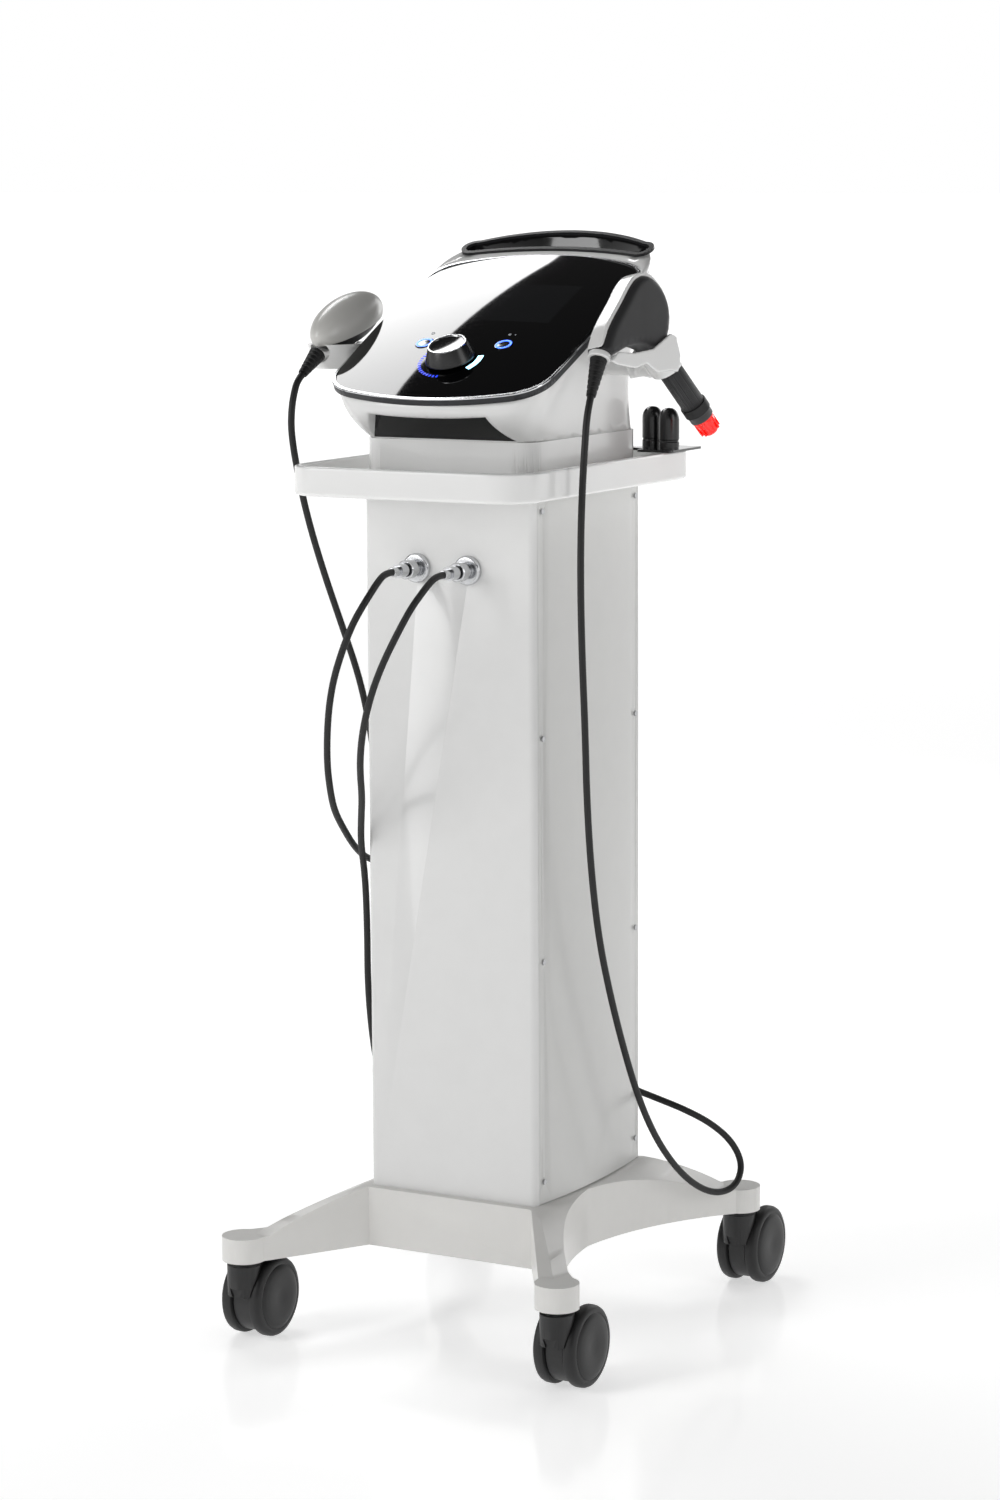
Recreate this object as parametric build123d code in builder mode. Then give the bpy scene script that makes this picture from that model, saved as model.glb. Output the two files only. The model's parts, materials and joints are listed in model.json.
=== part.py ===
"""Two-channel physiotherapy cart: a column on a castor base, a tray, a console with a tilted
glass panel, and two handpieces that rest in side holders and plug into the column."""

import os
from math import cos, radians, sin, sqrt, tan

from build123d import *

os.makedirs("parts", exist_ok=True)

# ---------------------------------------------------------------- driving dimensions (mm)
# Column
column_width = 236.0
column_depth = 281.0
column_bottom = 180.0
column_height = 872.0
column_corner = 9.0
sheet = 2.0
wrap = 8.5
side_bulge = 8.0
seam_gap = 0.6
post_size = 24.0
post_wall = 2.0
deck_thickness = 4.0
shelf_height = 340.0
screw_rows = 4
screw_low = 28.0
screw_high = 19.0
screw_head = 7.0
screw_shank = 4.0

# Base and castors
base_flat = 104.0
base_wall = 4.0
leg_end_height = 31.0
leg_radius = 27.0
castor_track = 440.0
castor_base = 500.0
base_middle = -28.0
skirt_front = 150.0
waist_half = 130.0
frame_tube = 16.0
wheel_diameter = 100.0
wheel_width = 19.0
wheel_gap = 25.0
castor_trail = 37.0
castor_body_width = 22.0
stem_diameter = 11.0
axle_diameter = 10.0
running_clearance = 0.05

# Tray
tray_width = 332.0
tray_length = 466.0
tray_middle = -23.0
tray_height = 36.0
tray_corner = 48.0
tray_rim = 9.0
tray_floor = 8.0

# Console
console_middle = -2.0
console_depth = 288.0
console_corner = 28.0
band_height = 56.0
wall = 3.5
panel_tilt = 25.8
panel_line = (0.0, -154.0, 1193.8)
panel_front = 57.0
panel_half_width = 152.0
panel_back = 382.0
glass_back = 315.0
glass_crown = 9.5
glass_middle = 130.0
glass_edge = 187.0
trim_width = 3.0
bezel_depth = 9.0
display_width = 177.0
display_height = 99.0
display_middle = 172.0
knob_diameter = 62.0
knob_top = 47.0
knob_height = 19.0
knob_from_line = 30.0
button_diameter = 23.0
button_spacing = 110.0
button_from_line = 66.0
button_travel = 1.0
well_depth = 34.0
well_rim_width = 8.0

# Connectors on the column front
socket_height = 960.0
socket_spacing = 71.0
socket_middle = -7.0
flange_diameter = 36.0
flange_thickness = 7.0
plug_length = 48.0
plug_diameter = 17.0
collar_diameter = 23.0
collar_length = 15.0
collar_travel = 2.5

# Handpieces, holders and cords
elbow = (180.0, -14.5, 1278.2)
barrel_way = (0.265, 0.594, -0.757)
lift_way = (0.0, 0.786, 0.616)
barrel_diameter = 30.5
barrel_offset = -6.0
barrel_start = 60.0
barrel_end = 182.0
tip_end = 207.0
grip_half = 18.0
holder_gap = 0.8
holder_wall = 3.8
egg_middle = (-190.0, -57.0, 1252.0)
egg_tilt = 16.0
egg_half_length = 74.0
egg_nose = 0.5
egg_radius = 31.0
cord_diameter = 8.5

# ---------------------------------------------------------------- places worked out from them
column_top = column_bottom + column_height
half_width = column_width / 2
half_depth = column_depth / 2
seam_y = half_depth - wrap
tray_top = column_top + tray_height
tray_deck = column_top + tray_floor
band_top = tray_deck + band_height
half_track = castor_track / 2
castor_y = {"front": base_middle - castor_base / 2, "rear": base_middle + castor_base / 2}
wheel_radius = wheel_diameter / 2
bulge_radius = (seam_y**2 + side_bulge**2) / (2 * side_bulge)
panel_normal = Vector(0, -sin(radians(panel_tilt)), cos(radians(panel_tilt)))
panel = Plane(panel_line, x_dir=(1, 0, 0), z_dir=panel_normal)
grip = Plane(elbow, x_dir=barrel_way, z_dir=Vector(barrel_way).cross(Vector(lift_way)))
socket_xs = {"left": socket_middle - socket_spacing / 2, "right": socket_middle + socket_spacing / 2}


def finish(part, name):
    """Label a piece and write it."""
    part.label = name
    export_step(part, f"parts/{name}.step")


def side_x(y):
    """Half width of the bulged side panel at a distance from the middle."""
    return half_width + side_bulge - bulge_radius + sqrt(bulge_radius**2 - y**2)


def polygon_face(plane, points):
    """Flat face through points given on a plane."""
    with BuildSketch(plane) as face:
        with BuildLine():
            Polyline(points, close=True)
        make_face()
    return face.sketch


# ---------------------------------------------------------------- base
def height_face(plane, shoulder, end, front_shoulder, front_end, inset):
    """Outline of the base seen from one side: flat over the column, curved down to the leg ends."""
    top = column_bottom - inset
    low = base_flat + leg_end_height - inset
    middle = low + 0.62 * (top - low)
    reach = 400.0
    with BuildSketch(plane) as face:
        with BuildLine():
            Line((front_shoulder, top), (shoulder, top))
            ThreePointArc((shoulder, top), ((shoulder + end) / 2, middle), (end, low))
            Polyline((end, low), (reach, low), (reach, 0), (-reach, 0), (-reach, low), (front_end, low))
            front_half = (front_shoulder + front_end) / 2
            ThreePointArc((front_end, low), (front_half, middle), (front_shoulder, top))
        make_face()
    return face.sketch


def base_plan(inset):
    """Plan of the base: a block under the column, four legs, and a hollow curve on every side."""
    radius = leg_radius - inset
    with BuildSketch(Plane.XY.offset(base_flat)) as plan:
        RectangleRounded(column_width - 2 * inset, column_depth - 2 * inset, column_corner)
        for end_y, inner_y in ((castor_y["front"], -skirt_front), (castor_y["rear"], half_depth)):
            back = 1 if end_y > 0 else -1
            hollow = back * inset
            with BuildLine():
                outer = ThreePointArc(
                    (half_track + radius, end_y - back * 6),
                    (waist_half + 30 - inset, base_middle + back * 118),
                    (waist_half - inset, base_middle),
                )
                inner = ThreePointArc(
                    (half_width - 2, inner_y - hollow),
                    (half_width + 46, (inner_y + end_y) / 2 + back * 14 - hollow),
                    (half_track - 8, end_y + back * radius * 0.95),
                )
                Polyline(outer @ 1, (0, base_middle), (0, inner_y - hollow), inner @ 0)
                Line(inner @ 1, outer @ 0)
            make_face()
            with Locations((half_track, end_y)):
                Circle(radius)
        mirror(about=Plane.YZ)
    return plan.sketch


def base_body(inset):
    """Solid of the base with its walls moved in."""
    shoulder_x = half_width + 4
    end_x = half_track - leg_radius * 0.4
    with BuildPart() as body:
        extrude(base_plan(inset), amount=column_bottom - base_flat)
        across = height_face(Plane.XZ, shoulder_x, end_x, -shoulder_x, -end_x, inset)
        extrude(across, amount=500, both=True, mode=Mode.INTERSECT)
        along = height_face(
            Plane.YZ,
            half_depth + 2,
            castor_y["rear"] - leg_radius * 0.4,
            -half_depth - 4,
            castor_y["front"] + leg_radius * 0.4,
            inset,
        )
        extrude(along, amount=500, both=True, mode=Mode.INTERSECT)
    return body.part


castor_spots = [(side * half_track, y) for side in (-1, 1) for y in castor_y.values()]

with BuildPart() as base_cover:
    add(base_body(0))
    add(base_body(base_wall), mode=Mode.SUBTRACT)
finish(base_cover.part, "base_cover")

# ---------------------------------------------------------------- base frame and castors
frame_top = column_bottom - base_wall
boss_radius = frame_tube / 2 + 3
boss_top = base_flat + leg_end_height - base_wall - 1

with BuildPart() as base_frame:
    with BuildSketch(Plane.XY.offset(base_flat)):
        for side in (-1, 1):
            for end_y in castor_y.values():
                with BuildLine() as spine:
                    Polyline(
                        (side * (half_width - 30), end_y * 0.31),
                        (side * (half_width + 42), end_y * 0.64),
                        (side * half_track, end_y),
                    )
                trace(spine.line, line_width=frame_tube)
        with Locations(*castor_spots):
            Circle(boss_radius)
        with Locations(*castor_spots):
            Circle(stem_diameter / 2, mode=Mode.SUBTRACT)
    extrude(amount=boss_top - base_flat)
    with BuildSketch(Plane.XY.offset(base_flat)):
        Rectangle(2 * (half_width - 20), 2 * (half_depth - 30))
        Rectangle(2 * (half_width - 50), 2 * (half_depth - 60), mode=Mode.SUBTRACT)
    extrude(amount=frame_top - base_flat)
finish(base_frame.part, "base_frame")

stem_bottom = wheel_radius + 12
with BuildPart() as castor_stems:
    for x, y in castor_spots:
        with BuildSketch(Plane.XY.offset(stem_bottom)):
            with Locations((x, y)):
                Circle(stem_diameter / 2)
        extrude(amount=boss_top - stem_bottom)
        with BuildSketch(Plane.XY.offset(base_flat - 2)):
            with Locations((x, y)):
                Circle(boss_radius)
        extrude(amount=2)
finish(castor_stems.part, "castor_stems")

castor_names = {"front": "f", "rear": "r"}
for row, y in castor_y.items():
    for tag, x in ((castor_names[row] + "l", -half_track), (castor_names[row] + "r", half_track)):
        axle_y = y + castor_trail
        with BuildPart() as castor_body:
            with BuildSketch(Plane.YZ.offset(x - castor_body_width / 2)):
                with Locations((axle_y, wheel_radius)):
                    Circle(wheel_radius - 5)
                with Locations((y, wheel_radius + 28)):
                    Rectangle(36, 38)
            extrude(amount=castor_body_width)
            with Locations((x, y, wheel_radius + 29)):
                Cylinder(21, 38)
            notch = polygon_face(
                Plane.XZ.offset(60 - y),
                ((x - 9, wheel_radius + 20), (x + 9, wheel_radius + 20), (x, wheel_radius - 2)),
            )
            extrude(notch, amount=-(60 - 17.5), mode=Mode.SUBTRACT)
            with BuildSketch(Plane.XY.offset(stem_bottom - 1)):
                with Locations((x, y)):
                    Circle(stem_diameter / 2 + running_clearance)
            extrude(amount=60, mode=Mode.SUBTRACT)
            with Locations((x, axle_y, wheel_radius)):
                Cylinder(
                    axle_diameter / 2 + running_clearance,
                    60,
                    rotation=(0, 90, 0),
                    mode=Mode.SUBTRACT,
                )
            with BuildSketch(Plane.YZ.offset(x - wheel_gap / 2 - wheel_width)):
                with Locations((axle_y, wheel_radius)):
                    Circle(wheel_radius + 1.5)
            extrude(amount=wheel_width + (wheel_gap - castor_body_width) / 2, mode=Mode.SUBTRACT)
            with BuildSketch(Plane.YZ.offset(x + castor_body_width / 2)):
                with Locations((axle_y, wheel_radius)):
                    Circle(wheel_radius + 1.5)
            extrude(amount=wheel_width + (wheel_gap - castor_body_width) / 2, mode=Mode.SUBTRACT)
        finish(castor_body.part, f"castor_body_{tag}")

        with BuildPart() as castor_wheels:
            for side in (-1, 1):
                inner_face = x + side * wheel_gap / 2
                with BuildSketch(Plane.YZ.offset(inner_face)):
                    with Locations((axle_y, wheel_radius)):
                        Circle(wheel_radius)
                        Circle(axle_diameter / 2, mode=Mode.SUBTRACT)
                extrude(amount=side * wheel_width)
            rims = castor_wheels.edges().filter_by(GeomType.CIRCLE)
            rims = rims.filter_by(lambda edge: edge.radius > wheel_radius - 1)
            outer_rims = rims.sort_by(Axis.X)
            fillet([outer_rims[0], outer_rims[-1]], 5)
            with BuildSketch(Plane.YZ.offset(x - wheel_gap / 2 - wheel_width + 4)):
                with Locations((axle_y, wheel_radius)):
                    Circle(axle_diameter / 2)
            extrude(amount=wheel_gap + 2 * wheel_width - 8)
        finish(castor_wheels.part, f"castor_wheels_{tag}")

# ---------------------------------------------------------------- column
post_centre_x = half_width - sheet - post_size / 2
post_centre_y = half_depth - sheet - post_size / 2
post_round = column_corner - sheet + 0.2
post_places = [(sx * post_centre_x, sy * post_centre_y) for sx in (-1, 1) for sy in (-1, 1)]
screw_y = seam_y - 9.5
screw_pitch = (column_height - screw_low - screw_high) / (screw_rows - 1)
screw_zs = [column_bottom + screw_low + i * screw_pitch for i in range(screw_rows)]
deck_levels = (column_bottom, column_bottom + shelf_height, column_top - deck_thickness)

with BuildPart() as column_frame:
    with BuildSketch(Plane.XY.offset(column_bottom)):
        with Locations(*post_places):
            RectangleRounded(post_size, post_size, post_round)
            RectangleRounded(
                post_size - 2 * post_wall,
                post_size - 2 * post_wall,
                post_round - post_wall,
                mode=Mode.SUBTRACT,
            )
    extrude(amount=column_height)
    for level in deck_levels:
        with BuildSketch(Plane.XY.offset(level)):
            Rectangle(2 * post_centre_x, 2 * post_centre_y)
        extrude(amount=deck_thickness)
    with Locations(*[(0, sy * screw_y, z) for sy in (-1, 1) for z in screw_zs]):
        Cylinder(screw_shank / 2, 300, rotation=(0, 90, 0), mode=Mode.SUBTRACT)
finish(column_frame.part, "column_frame")


def end_shell():
    """Plan of the sheet that wraps one end of the column."""
    with BuildSketch(Plane.XY.offset(column_bottom)) as plan:
        RectangleRounded(column_width, column_depth, column_corner)
        inside = (column_width - 2 * sheet, column_depth - 2 * sheet)
        RectangleRounded(*inside, column_corner - sheet, mode=Mode.SUBTRACT)
        with Locations((0, -half_depth + wrap / 2)):
            Rectangle(column_width, wrap, mode=Mode.INTERSECT)
    return plan.sketch


with BuildPart() as column_front_shell:
    extrude(end_shell(), amount=column_height)
    with Locations(*[(x, -half_depth, socket_height) for x in socket_xs.values()]):
        Cylinder(plug_diameter / 2 + 2, 20, rotation=(90, 0, 0), mode=Mode.SUBTRACT)
finish(column_front_shell.part, "column_front_shell")

vent_levels = [820 + 16 * i for i in range(9)]
inlet_centre = (0, half_depth, 262)
inlet_width = 48.0
inlet_height = 58.0
with BuildPart() as column_rear_shell:
    extrude(end_shell().mirror(Plane.XZ), amount=column_height)
    with BuildSketch(Plane.XZ.offset(-half_depth - 5)):
        with Locations(*[(0, level) for level in vent_levels]):
            SlotOverall(110, 6)
        with Locations((inlet_centre[0], inlet_centre[2])):
            Rectangle(inlet_width, inlet_height)
    extrude(amount=10, mode=Mode.SUBTRACT)
finish(column_rear_shell.part, "column_rear_shell")

edge_y = seam_y - seam_gap
for name, side in (("side_panel_left", -1), ("side_panel_right", 1)):
    with BuildPart() as side_panel:
        with BuildSketch(Plane.XY.offset(column_bottom + seam_gap)):
            with BuildLine():
                outer_x = side * half_width
                inner_x = side * (half_width - sheet)
                ThreePointArc((outer_x, -edge_y), (outer_x + side * side_bulge, 0), (outer_x, edge_y))
                ThreePointArc((inner_x, -edge_y), (inner_x + side * side_bulge, 0), (inner_x, edge_y))
                Line((outer_x, -edge_y), (inner_x, -edge_y))
                Line((outer_x, edge_y), (inner_x, edge_y))
            make_face()
        extrude(amount=column_height - 2 * seam_gap)
        with Locations(*[(0, sy * screw_y, z) for sy in (-1, 1) for z in screw_zs]):
            Cylinder(screw_shank / 2, 300, rotation=(0, 90, 0), mode=Mode.SUBTRACT)
    finish(side_panel.part, name)

screw_seat = side_x(screw_y - screw_head / 2)
with BuildPart() as panel_screws:
    for side in (-1, 1):
        for y in (-screw_y, screw_y):
            for z in screw_zs:
                with BuildSketch(Plane.YZ.offset(side * (screw_seat - 10))):
                    with Locations((y, z)):
                        Circle(screw_shank / 2)
                extrude(amount=side * 10)
                with BuildSketch(Plane.YZ.offset(side * screw_seat)):
                    with Locations((y, z)):
                        Circle(screw_head / 2)
                extrude(amount=side * 1.6)
finish(panel_screws.part, "panel_screws")

# ---------------------------------------------------------------- inside the column
floor_level = deck_levels[0] + deck_thickness
shelf_level = deck_levels[1] + deck_thickness
with BuildPart() as compressor:
    with Locations((0, -35, floor_level + 62)):
        Cylinder(55, 150, rotation=(0, 90, 0))
    with Locations((0, -35, floor_level + 10)):
        Box(150, 90, 20)
    with Locations((40, -35, floor_level + 120)):
        Cylinder(24, 70)
finish(compressor.part, "compressor")

with BuildPart() as air_tank:
    with Locations((0, 72, floor_level + 62)):
        Cylinder(42, 150, rotation=(0, 90, 0))
    fillet(air_tank.edges().filter_by(GeomType.CIRCLE), 20)
    with Locations((0, 72, floor_level + 12)):
        Box(90, 50, 24)
finish(air_tank.part, "air_tank")

with BuildPart() as power_supply:
    with Locations((0, -20, shelf_level + 45)):
        Box(140, 170, 90)
    fillet(power_supply.edges().filter_by(Axis.Z), 3)
finish(power_supply.part, "power_supply")

with BuildPart() as generator_board:
    with Locations((70, 0, shelf_level + 250)):
        Box(2, 180, 220)
    with Locations(*[(60, y, shelf_level + z) for y in (-55, 0, 55) for z in (190, 260, 320)]):
        Box(18, 34, 40)
    with Locations(*[(sx, y, shelf_level + 250) for sx in (82,) for y in (-75, 75)]):
        Box(22, 12, 180)
finish(generator_board.part, "generator_board")

fan_size = 92.0
fan_depth = 25.0
fan_bore = 86.0
fan_level = vent_levels[4]
fan_face = half_depth - sheet
with BuildPart() as fan_frame:
    with BuildSketch(Plane.XZ.offset(-fan_face)):
        with Locations((0, fan_level)):
            RectangleRounded(fan_size, fan_size, 5)
            Circle(fan_bore / 2, mode=Mode.SUBTRACT)
            Rectangle(fan_bore + 2, 6)
            Rectangle(6, fan_bore + 2)
            Circle(17)
    extrude(amount=3)
    with BuildSketch(Plane.XZ.offset(-fan_face + 3)):
        with Locations((0, fan_level)):
            RectangleRounded(fan_size, fan_size, 5)
            Circle(fan_bore / 2, mode=Mode.SUBTRACT)
            Circle(2)
    extrude(amount=fan_depth - 3)
finish(fan_frame.part, "fan_frame")

with BuildPart() as fan_rotor:
    with BuildSketch(Plane.XZ.offset(-fan_face + 4)):
        with Locations((0, fan_level)):
            Circle(18)
            with PolarLocations(29, 7):
                Rectangle(26, 9)
            Circle(2 + running_clearance, mode=Mode.SUBTRACT)
    extrude(amount=fan_depth - 6)
finish(fan_rotor.part, "fan_rotor")

rocker_level = inlet_centre[2] + 15
rocker_width = 21.0
rocker_height = 15.0
rocker_depth = half_depth + 1.0
with BuildPart() as mains_inlet:
    with BuildSketch(Plane.XZ.offset(-half_depth + 14)):
        with Locations((0, inlet_centre[2])):
            Rectangle(inlet_width, inlet_height)
    extrude(amount=-14)
    with BuildSketch(Plane.XZ.offset(-half_depth)):
        with Locations((0, inlet_centre[2])):
            RectangleRounded(inlet_width + 10, inlet_height + 10, 3)
    extrude(amount=-2.5)
    with BuildSketch(Plane.XZ.offset(-half_depth - 5)):
        with Locations((0, inlet_centre[2] - 13)):
            Rectangle(25, 17)
        with Locations((0, rocker_level)):
            Rectangle(rocker_width + 1.2, rocker_height + 2.4)
    extrude(amount=15, mode=Mode.SUBTRACT)
    with BuildSketch(Plane.XZ.offset(-half_depth + 10)):
        with Locations(*[(x, inlet_centre[2] - 13) for x in (-7, 0, 7)]):
            Rectangle(2, 5)
    extrude(amount=-8)
finish(mains_inlet.part, "mains_inlet")

with BuildPart() as power_rocker:
    with BuildSketch(Plane.YZ.offset(-rocker_width / 2)):
        with BuildLine():
            face_y = half_depth + 4
            Line((half_depth - 5, rocker_level - 5), (half_depth - 5, rocker_level + 5))
            Line((half_depth - 5, rocker_level + 5), (face_y, rocker_level + rocker_height / 2))
            ThreePointArc(
                (face_y, rocker_level + rocker_height / 2),
                (face_y - 1.6, rocker_level),
                (face_y, rocker_level - rocker_height / 2),
            )
            Line((face_y, rocker_level - rocker_height / 2), (half_depth - 5, rocker_level - 5))
        make_face()
    extrude(amount=rocker_width)
finish(power_rocker.part, "power_rocker")

# ---------------------------------------------------------------- tray
with BuildPart() as tray:
    with BuildSketch(Plane.XY.offset(column_top)):
        with Locations((0, tray_middle)):
            RectangleRounded(tray_width, tray_length, tray_corner)
    extrude(amount=tray_height)
    fillet(tray.faces().sort_by(Axis.Z)[0].edges(), 5)
    with BuildSketch(Plane.XY.offset(tray_deck)):
        with Locations((0, tray_middle)):
            RectangleRounded(
                tray_width - 2 * tray_rim, tray_length - 2 * tray_rim, tray_corner - tray_rim
            )
    extrude(amount=tray_height, mode=Mode.SUBTRACT)
    fillet(tray.faces().sort_by(Axis.Z)[-1].edges(), 3.2)
finish(tray.part, "tray")

# ---------------------------------------------------------------- console shell
with BuildPart() as console_base:
    with BuildSketch(Plane.XY.offset(tray_deck)):
        with Locations((0, console_middle)):
            RectangleRounded(column_width, console_depth, console_corner)
    extrude(amount=band_height)
    with BuildSketch(Plane.XY.offset(tray_deck + wall)):
        with Locations((0, console_middle)):
            RectangleRounded(column_width - 2 * wall, console_depth - 2 * wall, console_corner - wall)
    extrude(amount=band_height, mode=Mode.SUBTRACT)
finish(console_base.part, "console_base")


def rounded_outline(plane, half_x, front, back, front_corner, back_corner, bow_front, bow_back):
    """Four bowed sides joined by four smooth corners, the same on the left and the right."""
    middle = (front + back) / 2
    with BuildSketch(plane) as face:
        with BuildLine():
            low = ThreePointArc(
                (-half_x + front_corner, front + bow_front),
                (0, front),
                (half_x - front_corner, front + bow_front),
            )
            right = ThreePointArc(
                (half_x - 2, front + front_corner * 1.15 + bow_front),
                (half_x, middle),
                (half_x - 2, back - back_corner * 1.15 - bow_back),
            )
            high = ThreePointArc(
                (half_x - back_corner, back - bow_back),
                (0, back),
                (-half_x + back_corner, back - bow_back),
            )
            left = ThreePointArc(
                (-half_x + 2, back - back_corner * 1.15 - bow_back),
                (-half_x, middle),
                (-half_x + 2, front + front_corner * 1.15 + bow_front),
            )
            Spline(low @ 1, right @ 0, tangents=(low % 1, right % 0))
            Spline(right @ 1, high @ 0, tangents=(right % 1, high % 0))
            Spline(high @ 1, left @ 0, tangents=(high % 1, left % 0))
            Spline(left @ 1, low @ 0, tangents=(left % 1, low % 0))
        make_face()
    return face.sketch


def panel_outline(inset, height, back):
    """Outline of the panel on its own plane, moved in and up."""
    return rounded_outline(
        panel.offset(height),
        panel_half_width - inset,
        -panel_front + inset,
        back - inset,
        46,
        42 if back < panel_back else 70,
        14,
        18,
    )


# The recess in the front wall, on a plane that leans forward under the panel
recess_plane = Plane((0, -143, band_top + 3), x_dir=(1, 0, 0), z_dir=(0, -0.835, -0.55))
recess_low = 99.0
recess_high = 80.0
recess_height = 50.0
window_thickness = 2.5
recess_outline = (
    (-recess_low, 0),
    (recess_low, 0),
    (recess_high, recess_height),
    (-recess_high, recess_height),
)
well_half = 118.0
well_middle = 328.0
well_back_bow = 30.0
floor_half = 82.0


def crescent(plane, half, front, front_rise, back, back_rise, round_end):
    """Crescent outline from two arcs joined by two rounded ends."""
    with BuildSketch(plane) as face:
        with BuildLine():
            low = ThreePointArc((-half, front), (0, front + front_rise), (half, front))
            high = ThreePointArc((half, back), (0, back + back_rise), (-half, back))
            middle = (front + back) / 2
            ThreePointArc(low @ 1, (half + round_end, middle), high @ 0)
            ThreePointArc(high @ 1, (-half - round_end, middle), low @ 0)
        make_face()
    return face.sketch


def well_face(inset, height):
    """Crescent outline of the well on top of the console."""
    return crescent(
        panel.offset(height),
        well_half,
        well_middle - 16 + inset,
        14,
        well_middle + 16 - inset,
        well_back_bow,
        16 - inset,
    )


def well_floor(inset):
    """Smaller crescent at the bottom of the well."""
    return crescent(
        panel.offset(-well_depth - inset),
        floor_half,
        well_middle - 12 - inset,
        3,
        well_middle + 8 + inset,
        6,
        10 + inset,
    )


waist_plane = Plane((0, 0, band_top + 62), x_dir=(1, 0, 0), z_dir=panel_normal + Vector(0, 0, 1))
console_front = console_middle - console_depth / 2
console_rear = console_middle + console_depth / 2
with BuildPart() as console_housing:
    low = rounded_outline(
        Plane.XY.offset(band_top), half_width, console_front, console_rear, 30, 30, 1.5, 1.5
    )
    middle = rounded_outline(waist_plane, half_width + 12, -188, 136, 40, 44, 5, 6)
    high = panel_outline(4.0, -bezel_depth, panel_back)
    loft([low.faces()[0], middle.faces()[0], high.faces()[0]])
    housing_outer = console_housing.part
    extrude(panel_outline(4.0, -bezel_depth, panel_back), amount=bezel_depth)
    extrude(panel_outline(0, -bezel_depth, glass_back), amount=bezel_depth + 5, mode=Mode.SUBTRACT)
    with BuildSketch(Plane.XY.offset(band_top)):
        Rectangle(190, 220)
    extrude(amount=74, mode=Mode.SUBTRACT)
    extrude(polygon_face(recess_plane, recess_outline), amount=70, mode=Mode.SUBTRACT)
    loft([well_face(0, 0).faces()[0], well_floor(wall).faces()[0]], mode=Mode.SUBTRACT)
finish(console_housing.part, "console_housing")

with BuildPart() as recess_window:
    extrude(polygon_face(recess_plane, recess_outline), amount=window_thickness)
finish(recess_window.part, "recess_window")

# ---------------------------------------------------------------- tilted panel
glass_radius = (glass_edge**2 + (glass_crown - 0.5) ** 2) / (2 * (glass_crown - 0.5))
glass_centre = panel.from_local_coords((0, glass_middle, glass_crown - glass_radius))
knob_place = panel.from_local_coords((0, knob_from_line, 0))
button_local = [(side * button_spacing / 2, button_from_line) for side in (-1, 1)]


def glass_height(x, s):
    """Height of the crowned glass over the panel plane."""
    reach = x**2 + (s - glass_middle) ** 2
    return glass_crown - glass_radius + sqrt(glass_radius**2 - reach)


encoder_bore = 5.0
with BuildPart() as panel_bezel:
    extrude(panel_outline(0, -bezel_depth, glass_back), amount=bezel_depth - 1.5)
    extrude(panel_outline(4, -bezel_depth + 3, glass_back), amount=bezel_depth, mode=Mode.SUBTRACT)
    with BuildSketch(panel.offset(-bezel_depth)):
        with Locations((0, display_middle)):
            Rectangle(display_width + 4, display_height + 4)
        with Locations((0, knob_from_line), *button_local):
            Circle(9)
    extrude(amount=5, mode=Mode.SUBTRACT)
finish(panel_bezel.part, "panel_bezel")

with BuildPart() as trim_ring:
    extrude(panel_outline(0, -1.5, glass_back), amount=2.3)
    extrude(panel_outline(trim_width, -3, glass_back), amount=6, mode=Mode.SUBTRACT)
    chamfer(trim_ring.faces().sort_by(Axis(panel_line, panel_normal))[-1].outer_wire().edges(), 0.8)
finish(trim_ring.part, "trim_ring")

with BuildPart() as panel_glass:
    extrude(panel_outline(trim_width + 0.3, -1.5, glass_back), amount=20)
    with Locations(glass_centre):
        Sphere(glass_radius, mode=Mode.INTERSECT)
    with BuildSketch(panel.offset(-3)):
        with Locations((0, knob_from_line)):
            Circle(encoder_bore)
        with Locations(*button_local):
            Circle(button_diameter / 2 + 0.4)
    extrude(amount=30, mode=Mode.SUBTRACT)
finish(panel_glass.part, "panel_glass")

with BuildPart() as display_module:
    with BuildSketch(panel.offset(-bezel_depth + 1)):
        with Locations((0, display_middle)):
            Rectangle(display_width, display_height)
    extrude(amount=bezel_depth - 1 - 1.5)
finish(display_module.part, "display_module")

knob_seat = glass_height(0, knob_from_line - knob_diameter / 2) + 0.5
knob_seat = max(knob_seat, glass_height(0, knob_from_line + knob_diameter / 2) + 0.5)
shaft_diameter = 6.0
with BuildPart() as dial_knob:
    knob_plane = panel.offset(knob_seat)
    with BuildSketch(knob_plane):
        with Locations((0, knob_from_line)):
            Circle(knob_diameter / 2)
    with BuildSketch(knob_plane.offset(knob_height)):
        with Locations((0, knob_from_line)):
            Circle(knob_top / 2)
    loft()
    with BuildSketch(panel.offset(knob_seat + knob_height - 1.5)):
        with Locations((0, knob_from_line)):
            Circle(knob_top / 2 - 3)
    extrude(amount=4, mode=Mode.SUBTRACT)
    with BuildSketch(knob_plane):
        with Locations((0, knob_from_line)):
            Circle(shaft_diameter / 2)
    extrude(amount=12, mode=Mode.SUBTRACT)
finish(dial_knob.part, "dial_knob")

with BuildPart() as dial_encoder:
    with BuildSketch(panel.offset(-bezel_depth)):
        with Locations((0, knob_from_line)):
            Circle(8.5)
    extrude(amount=6)
    with BuildSketch(panel.offset(-bezel_depth)):
        with Locations((0, knob_from_line)):
            Circle(shaft_diameter / 2 - running_clearance)
    extrude(amount=bezel_depth + knob_seat + 11)
finish(dial_encoder.part, "dial_encoder")

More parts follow.
